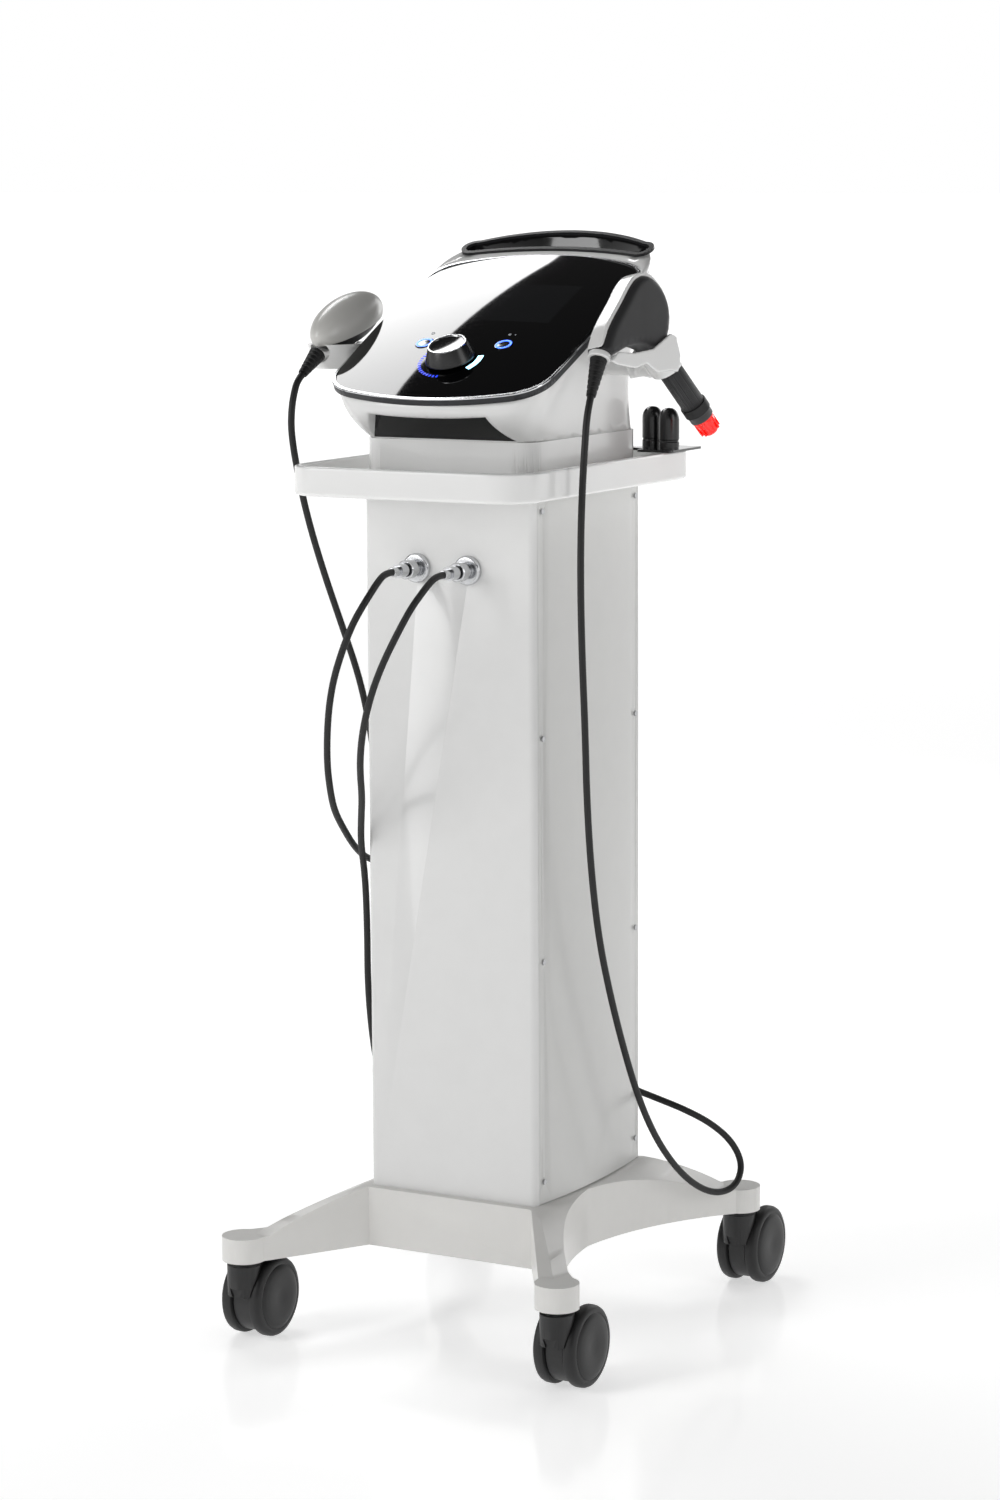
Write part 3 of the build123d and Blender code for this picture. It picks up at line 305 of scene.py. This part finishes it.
def on_panel(x, s, height=0.0):
    """Point at x across and s up the panel, that far above its plane."""
    return panel_origin + Vector((x, 0, 0)) + panel_up * s + panel_normal * height


def glass_height(x, s):
    """Height of the crowned glass over the panel plane."""
    return glass_crown - glass_radius + sqrt(glass_radius**2 - x**2 - (s - glass_middle) ** 2)


def box_mask(material, centre, half_x, half_y, edge):
    """1 inside a rectangle on the panel, 0 outside it, with a soft edge."""
    place = add(material, "ShaderNodeTexCoord")
    turned = add(
        material,
        "ShaderNodeMapping",
        {"vector_type": "TEXTURE", "Location": panel_origin, "Rotation": (panel_tilt, 0, 0)},
        Vector=place.outputs["Object"],
    )
    parts = add(material, "ShaderNodeSeparateXYZ", {}, Vector=turned.outputs["Vector"])
    sides = []
    for axis, middle, half in (("X", centre[0], half_x), ("Y", centre[1], half_y)):
        away = add(material, "ShaderNodeMath", {"operation": "SUBTRACT"})
        away.inputs[1].default_value = middle
        material.node_tree.links.new(parts.outputs[axis], away.inputs[0])
        size = add(material, "ShaderNodeMath", {"operation": "ABSOLUTE"})
        material.node_tree.links.new(away.outputs[0], size.inputs[0])
        sides.append(
            add(
                material,
                "ShaderNodeMapRange",
                {"From Min": half - edge, "From Max": half, "To Min": 1.0, "To Max": 0.0},
                Value=size.outputs[0],
            )
        )
    both = add(material, "ShaderNodeMath", {"operation": "MULTIPLY"})
    material.node_tree.links.new(sides[0].outputs["Result"], both.inputs[0])
    material.node_tree.links.new(sides[1].outputs["Result"], both.inputs[1])
    return both


cover_glass, cover_shader = finish_of("black_printed_cover_glass", "030304", 0.035, ior=1.5)
display_mask = box_mask(cover_glass, (0, 0.172), 0.0885, 0.0495, 0.0006)
tint = add(cover_glass, "ShaderNodeMix", {"data_type": "RGBA"})
tint.inputs[6].default_value = linear("030304")
tint.inputs[7].default_value = linear("151618")
cover_glass.node_tree.links.new(display_mask.outputs[0], tint.inputs[0])
cover_glass.node_tree.links.new(tint.outputs[2], cover_shader.inputs["Base Color"])

# %% [markdown]
# ## Making and carrying pieces
# A CAD piece arrives as loose triangles. `dressed` copies one, welds its points, shades it smooth
# except at real edges, and lets the copy stand for the CAD piece. `new_piece` takes a mesh
# that bmesh operators have made. Both ride on the CAD body they belong to.

# %% Piece tools
def settle(mesh, material, angle=32):
    mesh.materials.clear()
    mesh.materials.append(material)
    mesh.shade_smooth()
    mesh.set_sharp_from_angle(angle=radians(angle))


def dressed(node, material, angle=32, soften=0.0):
    """A welded, smooth-shaded copy of a CAD node that stands for it."""
    form = bmesh.new()
    form.from_mesh(frame["nodes"][node].data)
    bmesh.ops.remove_doubles(form, verts=form.verts, dist=0.00002)
    mesh = bpy.data.meshes.new(node + "_skin")
    form.to_mesh(mesh)
    form.free()
    settle(mesh, material, angle)
    piece = bpy.data.objects.new(node + "_skin", mesh)
    bpy.context.scene.collection.objects.link(piece)
    if soften:
        bevel = piece.modifiers.new("soft_edges", "BEVEL")
        bevel.width = soften
        bevel.segments = 3
        bevel.limit_method = "ANGLE"
        bevel.angle_limit = radians(40)
        bevel.harden_normals = True
    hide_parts(node)
    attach(piece, frame["nodes"][node]["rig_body"])
    return piece


def new_piece(name, form, material, body, nodes=(), angle=32):
    """A piece from a bmesh, riding on a CAD body."""
    bmesh.ops.remove_doubles(form, verts=form.verts, dist=0.000005)
    bmesh.ops.recalc_face_normals(form, faces=form.faces)
    mesh = bpy.data.meshes.new(name)
    form.to_mesh(mesh)
    form.free()
    settle(mesh, material, angle)
    piece = bpy.data.objects.new(name, mesh)
    bpy.context.scene.collection.objects.link(piece)
    if nodes:
        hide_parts(*nodes)
    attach(piece, body)
    return piece


def spun(form, profile, place, axis, steps=64):
    """Turns a profile of (radius, height) pairs about an axis through a place."""
    axis = Vector(axis).normalized()
    side = axis.orthogonal().normalized()
    verts = [form.verts.new(Vector(place) + side * r + axis * h) for r, h in profile]
    edges = [form.edges.new(pair) for pair in zip(verts, verts[1:])]
    bmesh.ops.spin(
        form,
        geom=verts + edges,
        cent=Vector(place),
        axis=axis,
        angle=2 * pi,
        steps=steps,
        use_merge=True,
    )


# %% [markdown]
# ## Cords
# Each cord is one smooth NURBS line through the space its CAD tube holds: straight out of the
# strain relief, down under its own weight, and up again in a wide bow to its plug.

# %% Cords
cord_width = 0.0085
route_right = (
    (0.18494, -0.12037, 1.17244), (0.1862, -0.12874, 1.16006), (0.187, -0.1361, 1.1418),
    (0.1875, -0.141, 1.1142), (0.1875, -0.147, 1.070), (0.1875, -0.1515, 1.013), (0.187, -0.1515, 0.943),
    (0.186, -0.146, 0.863), (0.1845, -0.136, 0.775), (0.1825, -0.128, 0.688), (0.180, -0.113, 0.602),
    (0.1785, -0.091, 0.515), (0.178, -0.061, 0.440), (0.179, -0.027, 0.365), (0.182, 0.006, 0.297),
    (0.187, 0.040, 0.241), (0.194, 0.077, 0.196), (0.203, 0.114, 0.162), (0.214, 0.150, 0.141),
    (0.224, 0.181, 0.137), (0.228, 0.205, 0.147), (0.225, 0.219, 0.168), (0.212, 0.213, 0.196),
    (0.191, 0.194, 0.221), (0.163, 0.174, 0.240), (0.128, 0.166, 0.252), (0.088, 0.166, 0.262),
    (0.045, 0.169, 0.277), (0.0, 0.171, 0.299), (-0.045, 0.171, 0.328), (-0.092, 0.169, 0.365),
    (-0.126, 0.157, 0.405), (-0.140, 0.130, 0.447), (-0.139, 0.090, 0.487), (-0.136, 0.045, 0.522),
    (-0.138, -0.003, 0.550), (-0.145, -0.050, 0.570), (-0.150, -0.091, 0.585), (-0.144, -0.128, 0.605),
    (-0.138, -0.163, 0.633), (-0.132, -0.195, 0.662), (-0.123, -0.219, 0.692), (-0.116, -0.237, 0.730),
    (-0.103, -0.255, 0.786), (-0.088, -0.267, 0.832), (-0.071, -0.272, 0.872), (-0.058, -0.269, 0.904),
    (-0.0495, -0.259, 0.925), (-0.045, -0.247, 0.940), (-0.043, -0.2335, 0.952),
    (-0.0425, -0.2185, 0.960), (-0.0425, -0.2035, 0.960),
)
route_left = (
    (-0.190, -0.16142, 1.1928), (-0.190, -0.17404, 1.18469), (-0.190, -0.181, 1.173),
    (-0.190, -0.188, 1.154), (-0.190, -0.1905, 1.125), (-0.189, -0.181, 1.082), (-0.186, -0.163, 1.020),
    (-0.179, -0.138, 0.950), (-0.166, -0.116, 0.880), (-0.151, -0.099, 0.812), (-0.146, -0.082, 0.743),
    (-0.150, -0.057, 0.660), (-0.154, -0.022, 0.575), (-0.155, 0.018, 0.490), (-0.155, 0.055, 0.410),
    (-0.154, 0.080, 0.348), (-0.154, 0.082, 0.300), (-0.155, 0.062, 0.262), (-0.156, 0.022, 0.244),
    (-0.156, -0.021, 0.254), (-0.155, -0.053, 0.289), (-0.153, -0.074, 0.345), (-0.150, -0.090, 0.418),
    (-0.142, -0.103, 0.497), (-0.135, -0.118, 0.566), (-0.126, -0.143, 0.614), (-0.108, -0.171, 0.652),
    (-0.089, -0.200, 0.683), (-0.074, -0.229, 0.719), (-0.059, -0.252, 0.751), (-0.043, -0.270, 0.785),
    (-0.026, -0.281, 0.823), (-0.009, -0.283, 0.860), (0.007, -0.275, 0.896), (0.0175, -0.262, 0.924),
    (0.0235, -0.2485, 0.940), (0.0265, -0.2335, 0.952), (0.0285, -0.2185, 0.960), (0.0285, -0.2035, 0.960),
)


def hang_cord(name, route):
    line = bpy.data.curves.new(name, "CURVE")
    line.dimensions = "3D"
    line.bevel_depth = cord_width / 2
    line.bevel_resolution = 5
    line.use_fill_caps = True
    spline = line.splines.new("NURBS")
    spline.points.add(len(route) - 1)
    for point, place in zip(spline.points, route):
        point.co = (*place, 1)
    spline.order_u = 3
    spline.use_endpoint_u = True
    spline.resolution_u = 6
    line.materials.append(relief_black)
    piece = bpy.data.objects.new(name + "_line", line)
    bpy.context.scene.collection.objects.link(piece)
    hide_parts(name)
    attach(piece, "cart")


hang_cord("cord_right", route_right)
hang_cord("cord_left", route_left)

# %% [markdown]
# ## Painted bodywork
# The shells, tray, base and column panels keep their CAD shape. Their copies are welded and
# smoothly shaded. A live bevel of 0.5 to 1.5 mm rounds the edges of the base cover, tray, left
# holder, rack and power rocker. The other copies have no bevel and keep the CAD edges.

# %% Bodywork
dressed("base_cover", base_white, 24, 0.0012)
dressed("tray", gloss_white, 30, 0.0015)
dressed("console_base", gloss_white, 30)
dressed("console_housing", gloss_white, 42)
dressed("column_front_shell", front_white, 30)
dressed("column_rear_shell", side_painted_shade_grey, 30)
for side in ("left", "right"):
    dressed("side_panel_" + side, side_painted_shade_grey, 30)
dressed("holder_left", gloss_white, 35, 0.001)
dressed("recess_window", gloss_black, 30)
dressed("well_bowl", gloss_black, 50)
dressed("well_rim", rim_grey, 40)
dressed("panel_bezel", bezel_grey, 35)
dressed("trim_ring", trim_silver, 35)
dressed("panel_glass", cover_glass, 30)
dressed("rack_plate", gloss_black, 30, 0.0006)
dressed("mains_inlet", black_abs, 30)
dressed("power_rocker", black_abs, 30, 0.0005)
dressed("handpiece_left_shell", shell_grey, 30)
dressed("handpiece_left_base", soft_charcoal, 30)
dressed("handpiece_right_barrel", soft_charcoal, 30)
dressed("handpiece_right_collar", relief_black, 30)

# %% [markdown]
# ## Inner and small hardware
# Pieces behind the covers keep their CAD mesh and take the finish of what they are.

# %% Hidden pieces
plain = {
    "castor_stems": satin_steel, "panel_screws": satin_steel, "dial_encoder": satin_steel,
    "button_switches": black_abs, "base_frame": frame_dark, "column_frame": frame_dark,
    "fan_frame": black_abs, "fan_rotor": black_abs, "compressor": cast_metal,
    "power_supply": cast_metal, "air_tank": frame_dark, "generator_board": board_green,
    "display_module": gloss_black, "plug_left": chrome, "plug_right": chrome,
}
for node, material in plain.items():
    slots = frame["nodes"][node].data.materials
    slots.clear()
    slots.append(material)

# %% [markdown]
# ## Right handpiece
# The pistol body is a soft moulding with no hard edge. Its CAD solid is a flat slab with
# chamfers, so a copy is remeshed into small even faces and smoothed until its edges roll
# over, as a thick rubber skin does. The white spine band and the right holder are treated in
# the same way.

# %% Soft bodies
def softened(node, material, voxel, rounds):
    piece = dressed(node, material, 180)
    for kind, settings in (
        ("REMESH", {"mode": "VOXEL", "voxel_size": voxel}),
        ("SMOOTH", {"factor": 0.5, "iterations": rounds}),
    ):
        step = piece.modifiers.new(kind.lower(), kind)
        for key, value in settings.items():
            setattr(step, key, value)
    made = bpy.data.meshes.new_from_object(piece.evaluated_get(bpy.context.evaluated_depsgraph_get()))
    piece.modifiers.clear()
    piece.data = made
    settle(made, material, 180)
    print(node, "faces", len(made.polygons))


softened("handpiece_right_grip", soft_charcoal, 0.0018, 22)
softened("handpiece_right_spine", gloss_white, 0.0011, 5)
softened("holder_right", gloss_white, 0.0011, 5)

# %% [markdown]
# ## Strain reliefs, tip and connectors
# These are turned parts, so each is a profile spun about its axis. The reliefs have raised
# ribs with slots between, the red tip has a stepped cap, and the connectors a plain nut.

# %% Turned parts
grip_x = Vector((0.265, 0.594, -0.757)).normalized()
grip_z = grip_x.cross(Vector((0.0, 0.786, 0.616))).normalized()
grip_y = grip_z.cross(grip_x)
grip_origin = Vector((0.180, -0.0145, 1.2782))


def in_grip(b, w, n=0.0):
    """Point along the barrel, across it, and out of the grip's middle plane."""
    return grip_origin + grip_x * b + grip_y * w + grip_z * n


def ribbed(low_radius, high_radius, length, ribs):
    """Profile of a tapering sleeve with ribs."""
    profile = [(0.0, 0.0), (low_radius, 0.0)]
    pitch = length / (ribs + 1)
    for i in range(ribs):
        start = pitch * (i + 0.6)
        for along, lift in ((0.0, 0.0), (0.12, -0.0012), (0.4, -0.0012), (0.52, 0.0)):
            h = start + pitch * along
            taper = low_radius + (high_radius - low_radius) * h / length
            profile.append((taper + lift, h))
    return profile + [(high_radius, length), (high_radius - 0.001, length), (0.0, length)]


right_relief = 0.050
left_relief = 0.040
right_end = Vector(route_right[0])
right_way = (Vector(route_right[1]) - right_end).normalized()
left_end = Vector(route_left[0])
left_way = (Vector(route_left[1]) - left_end).normalized()

form = bmesh.new()
spun(form, ribbed(0.0105, 0.0058, right_relief, 6), right_end - right_way * right_relief, right_way, 40)
new_piece("handpiece_right_relief_ribs", form, relief_black, "handpiece_right",
          ["handpiece_right_relief"])
form = bmesh.new()
spun(form, [(0.0, 0.0), (0.0135, 0.0), (0.014, 0.001), (0.014, 0.006), (0.013, 0.007), (0.0, 0.007)],
     right_end - right_way * 0.057, right_way, 48)
new_piece("handpiece_right_neck_ring", form, gloss_white, "handpiece_right")
form = bmesh.new()
spun(form, ribbed(0.0105, 0.0058, left_relief, 5), left_end - left_way * left_relief, left_way, 40)
new_piece("handpiece_left_relief_ribs", form, relief_black, "handpiece_left",
          ["handpiece_left_relief"])

tip_profile = [(0.0, 0.0), (0.0146, 0.0), (0.0146, 0.002), (0.0138, 0.003), (0.0134, 0.010),
               (0.0122, 0.012), (0.0120, 0.017), (0.0112, 0.0185), (0.0108, 0.022), (0.0085, 0.0245),
               (0.004, 0.025), (0.0, 0.025)]
form = bmesh.new()
spun(form, tip_profile, in_grip(0.182, -0.006), grip_x, 48)
for turn in range(12):
    angle = 2 * pi * turn / 12
    rib = bmesh.ops.create_cube(form, size=1.0)["verts"]
    place = in_grip(0.1945, -0.006) + (grip_y * cos(angle) + grip_z * sin(angle)) * 0.0125
    turned = Matrix((grip_x, grip_y * cos(angle) + grip_z * sin(angle),
                     grip_z * cos(angle) - grip_y * sin(angle))).transposed().to_4x4()
    bmesh.ops.transform(form, matrix=Matrix.Translation(place) @ turned
                        @ Matrix.Diagonal((0.016, 0.0032, 0.0022, 1)), verts=rib)
new_piece("handpiece_right_red_tip", form, red_cap_painted_glow, "handpiece_right",
          ["handpiece_right_tip"])

# %% [markdown]
# ## Spare heads
# Two spare applicator heads stand on the black rack: a glossy barrel with a groove near its
# foot, a rounded shoulder and a dome. Each is one spun profile.

# %% Spare heads
head_low, head_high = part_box("spare_heads")
head_radius = 0.013
head_profile = [(0.0, 0.0), (head_radius, 0.0), (head_radius, 0.008), (0.0122, 0.009), (0.0122, 0.0105),
                (head_radius, 0.0115), (head_radius, 0.036), (0.0127, 0.0395), (0.0118, 0.043),
                (0.0102, 0.046), (0.0078, 0.0485), (0.0045, 0.0502), (0.0, 0.0508)]
form = bmesh.new()
for x, y in ((head_low.x + head_radius, head_high.y - head_radius),
             (head_high.x - head_radius, head_low.y + head_radius)):
    spun(form, head_profile, (x, y, head_low.z), (0, 0, 1), 48)
new_piece("spare_heads_turned", form, post_black, "cart", ["spare_heads"], 35)

# %% Connectors
socket_level = 0.960
for side, x in (("left", -0.0425), ("right", 0.0285)):
    low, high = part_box("plug_collar_" + side)
    form = bmesh.new()
    nut = [(0.0086, 0.0), (0.0105, 0.0), (0.0115, 0.001), (0.0115, 0.0135), (0.0105, 0.0148),
           (0.0086, 0.0148), (0.0086, 0.0)]
    spun(form, nut, (x, high.y - 0.0001, socket_level), (0, -1, 0), 48)
    new_piece("plug_nut_" + side, form, chrome, "plug_collar_" + side,
              ["plug_collar_" + side])
dressed("sockets", chrome, 30, 0.0006)

# %% [markdown]
# ## Dial and lit marks
# The dial is a truncated cone with a plain skirt and a bright ring round its dished top. Round
# it, the glass shows a bow of lit ticks at the left and one brighter arc at the right. The marks
# are thin slips that follow the glass, because light printed behind glass looks flush with it.

# %% Dial
knob_s = 0.030
knob_seat = max(glass_height(0, knob_s - 0.031), glass_height(0, knob_s + 0.031)) + 0.0005
knob_place = on_panel(0, knob_s, knob_seat)
form = bmesh.new()
spun(form, [(0.004, 0.0), (0.031, 0.0), (0.031, 0.0012), (0.0302, 0.003), (0.0245, 0.0168),
            (0.0236, 0.0182)], knob_place, panel_normal, 96)
new_piece("dial_skirt", form, post_black, "dial", ["dial_knob"], 40)
form = bmesh.new()
spun(form, [(0.0237, 0.0176), (0.0237, 0.0188), (0.0229, 0.019), (0.0212, 0.0187), (0.0207, 0.0176)],
     knob_place, panel_normal, 96)
new_piece("dial_bright_ring", form, trim_silver, "dial", (), 60)
form = bmesh.new()
spun(form, [(0.0, 0.0166), (0.012, 0.0168), (0.0195, 0.0176), (0.0208, 0.0178)], knob_place, panel_normal, 64)
new_piece("dial_dish", form, gloss_black, "dial", (), 60)


def arc_mark(form, centre, inner, outer, start, end, steps, lift=0.00025):
    """A thin slip of glass-hugging arc, angles in degrees from +x on the panel."""
    rows = []
    for i in range(steps + 1):
        angle = radians(start + (end - start) * i / steps)
        row = []
        for radius in (inner, outer):
            x, s = centre[0] + radius * cos(angle), centre[1] + radius * sin(angle)
            row.append(form.verts.new(on_panel(x, s, glass_height(x, s) + lift)))
        rows.append(row)
    for a, b in zip(rows, rows[1:]):
        form.faces.new((a[0], a[1], b[1], b[0]))


def slip(name, form, material, thickness=0.00015):
    bmesh.ops.recalc_face_normals(form, faces=form.faces)
    bmesh.ops.solidify(form, geom=form.faces[:], thickness=thickness)
    return new_piece(name, form, material, "cart")


form = bmesh.new()
for i in range(17):
    middle = 150 + i * 7.5
    arc_mark(form, (0, knob_s), 0.0375, 0.0415, middle - 1.3, middle + 1.3, 2)
slip("dial_ticks", form, deep_blue_light)
form = bmesh.new()
arc_mark(form, (0, knob_s), 0.0345, 0.0415, -32, 14, 18)
slip("dial_lit_arc", form, pale_light)

# %% [markdown]
# ## Buttons
# Each button is a black cap with a ring of blue light, and a small plain mark is printed above, with a faint
# painted glow.

# %% Buttons
button_x = 0.055
button_s = 0.066
mark_s = 0.090
button_ring = [(0.0078, -0.0002), (0.0078, 0.00025), (0.0104, 0.00025), (0.0104, -0.0002), (0.0078, -0.0002)]
for side, x in (("left", -button_x), ("right", button_x)):
    dressed("button_" + side, gloss_black, 30)
    top = max(glass_height(abs(x) - 0.0115, button_s), 0) + 0.0004
    place = on_panel(x, button_s, top)
    form = bmesh.new()
    spun(form, button_ring, place, panel_normal, 48)
    new_piece("button_ring_" + side, form, blue_light, "button_" + side)
form = bmesh.new()
arc_mark(form, (-button_x, mark_s), 0.0018, 0.0027, 0, 360, 20)
slip("mark_left", form, icon_grey_painted_glow)
form = bmesh.new()
for shift, start, end in ((-0.003, 30, 330), (0.003, -40, 40)):
    arc_mark(form, (button_x + shift, mark_s), 0.0, 0.0022, start, end, 6)
slip("mark_right", form, icon_grey_painted_glow)

# %% [markdown]
# ## Castors
# A twin-wheel castor has a domed face on each wheel, a moulded tread with a rounded shoulder,
# and a body between them. The wheels are spun from one profile, and mirrored in the other.

# %% Castors
wheel_profile = [(0.0, 0.0165), (0.010, 0.0175), (0.024, 0.0188), (0.034, 0.0182), (0.0395, 0.0165),
                 (0.0403, 0.0155), (0.0415, 0.0160), (0.0455, 0.0155), (0.0485, 0.0135), (0.0498, 0.0105),
                 (0.0500, 0.0070), (0.0500, 0.0035), (0.0492, 0.0012), (0.0470, 0.0), (0.0, 0.0)]
for name in ("fl", "fr", "rl", "rr"):
    low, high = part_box("castor_wheels_" + name)
    middle = (low + high) / 2
    form = bmesh.new()
    for way in (-1, 1):
        spun(form, wheel_profile, middle + Vector((way * 0.0125, 0, 0)), (way, 0, 0), 72)
    spun(form, [(0.0, -0.0125), (0.005, -0.0125), (0.005, 0.0125), (0.0, 0.0125)], middle, (1, 0, 0), 24)
    new_piece("wheels_" + name + "_pair", form, tread_black, "wheels_" + name,
              ["castor_wheels_" + name], 40)
    dressed("castor_body_" + name, castor_black, 32, 0.0015)

# %% [markdown]
# ## Studio
# A pale glossy floor, a sky that is white at eye level and dark overhead, and soft boxes: the dark
# overhead keeps the cover glass black, and one bright card up and to the left lays a crisp white
# sweep across it.

# %% Studio
form = bmesh.new()
bmesh.ops.create_grid(form, x_segments=1, y_segments=1, size=120)
floor_mesh = bpy.data.meshes.new("studio_floor")
form.to_mesh(floor_mesh)
form.free()
floor_white, floor_shader = finish_of(
    "pale_glossy_floor", "F7F7F7", 0.12, ior=1.45, Emission_Color=linear("FFFFFF"), Emission_Strength=0.55
)
grain(floor_white, floor_shader, 0.02, 0.00001)
floor_mesh.materials.append(floor_white)
studio_floor = bpy.data.objects.new("studio_floor", floor_mesh)
studio_floor.location.z = -0.0005
bpy.context.scene.collection.objects.link(studio_floor)
studio_floor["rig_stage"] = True

world = bpy.data.worlds.new("studio")
bpy.context.scene.world = world
world.use_nodes = True
sky = world.node_tree
place = sky.nodes.new("ShaderNodeTexCoord")
split = sky.nodes.new("ShaderNodeSeparateXYZ")
ramp = sky.nodes.new("ShaderNodeValToRGB")
sky.links.new(place.outputs["Generated"], split.inputs["Vector"])
sky.links.new(split.outputs["Z"], ramp.inputs["Fac"])
for element, (position, level) in zip(ramp.color_ramp.elements, ((0.05, 1.0), (0.42, 0.05))):
    element.position = position
    element.color = (level, level, level, 1)
sky.links.new(ramp.outputs["Color"], sky.nodes["Background"].inputs["Color"])
sky.nodes["Background"].inputs["Strength"].default_value = 1.0


def soft_box(name, place, target, width, height, power, upright=True):
    light = bpy.data.lights.new(name, "AREA")
    light.shape = "RECTANGLE"
    light.size = width
    light.size_y = height
    light.energy = power
    lamp = bpy.data.objects.new(name, light)
    bpy.context.scene.collection.objects.link(lamp)
    lamp.location = place
    lamp.rotation_mode = "QUATERNION"
    if upright:
        lamp.rotation_quaternion = (Vector(target) - Vector(place)).to_track_quat("-Z", "Y")
    return lamp


soft_box("front_left_box", (-2.2, -3.2, 2.4), (0, 0, 0.8), 1.6, 2.4, 55)
soft_box("right_box", (3.6, -0.6, 2.2), (0, 0, 0.7), 1.4, 2.4, 22)
soft_box("overhead_card", (-1.87, 1.55, 3.2), (0, 0, 0), 0.9, 2.1, 40, upright=False)
soft_box("back_box", (0.6, 3.6, 2.0), (0, 0, 0.9), 2.4, 1.6, 30)

# %% [markdown]
# ## Measure and close
# The box round the dressed model, leaving out the studio, is measured. The dressed model
# has to stay inside the CAD model's box.

# %% Close
low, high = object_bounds()
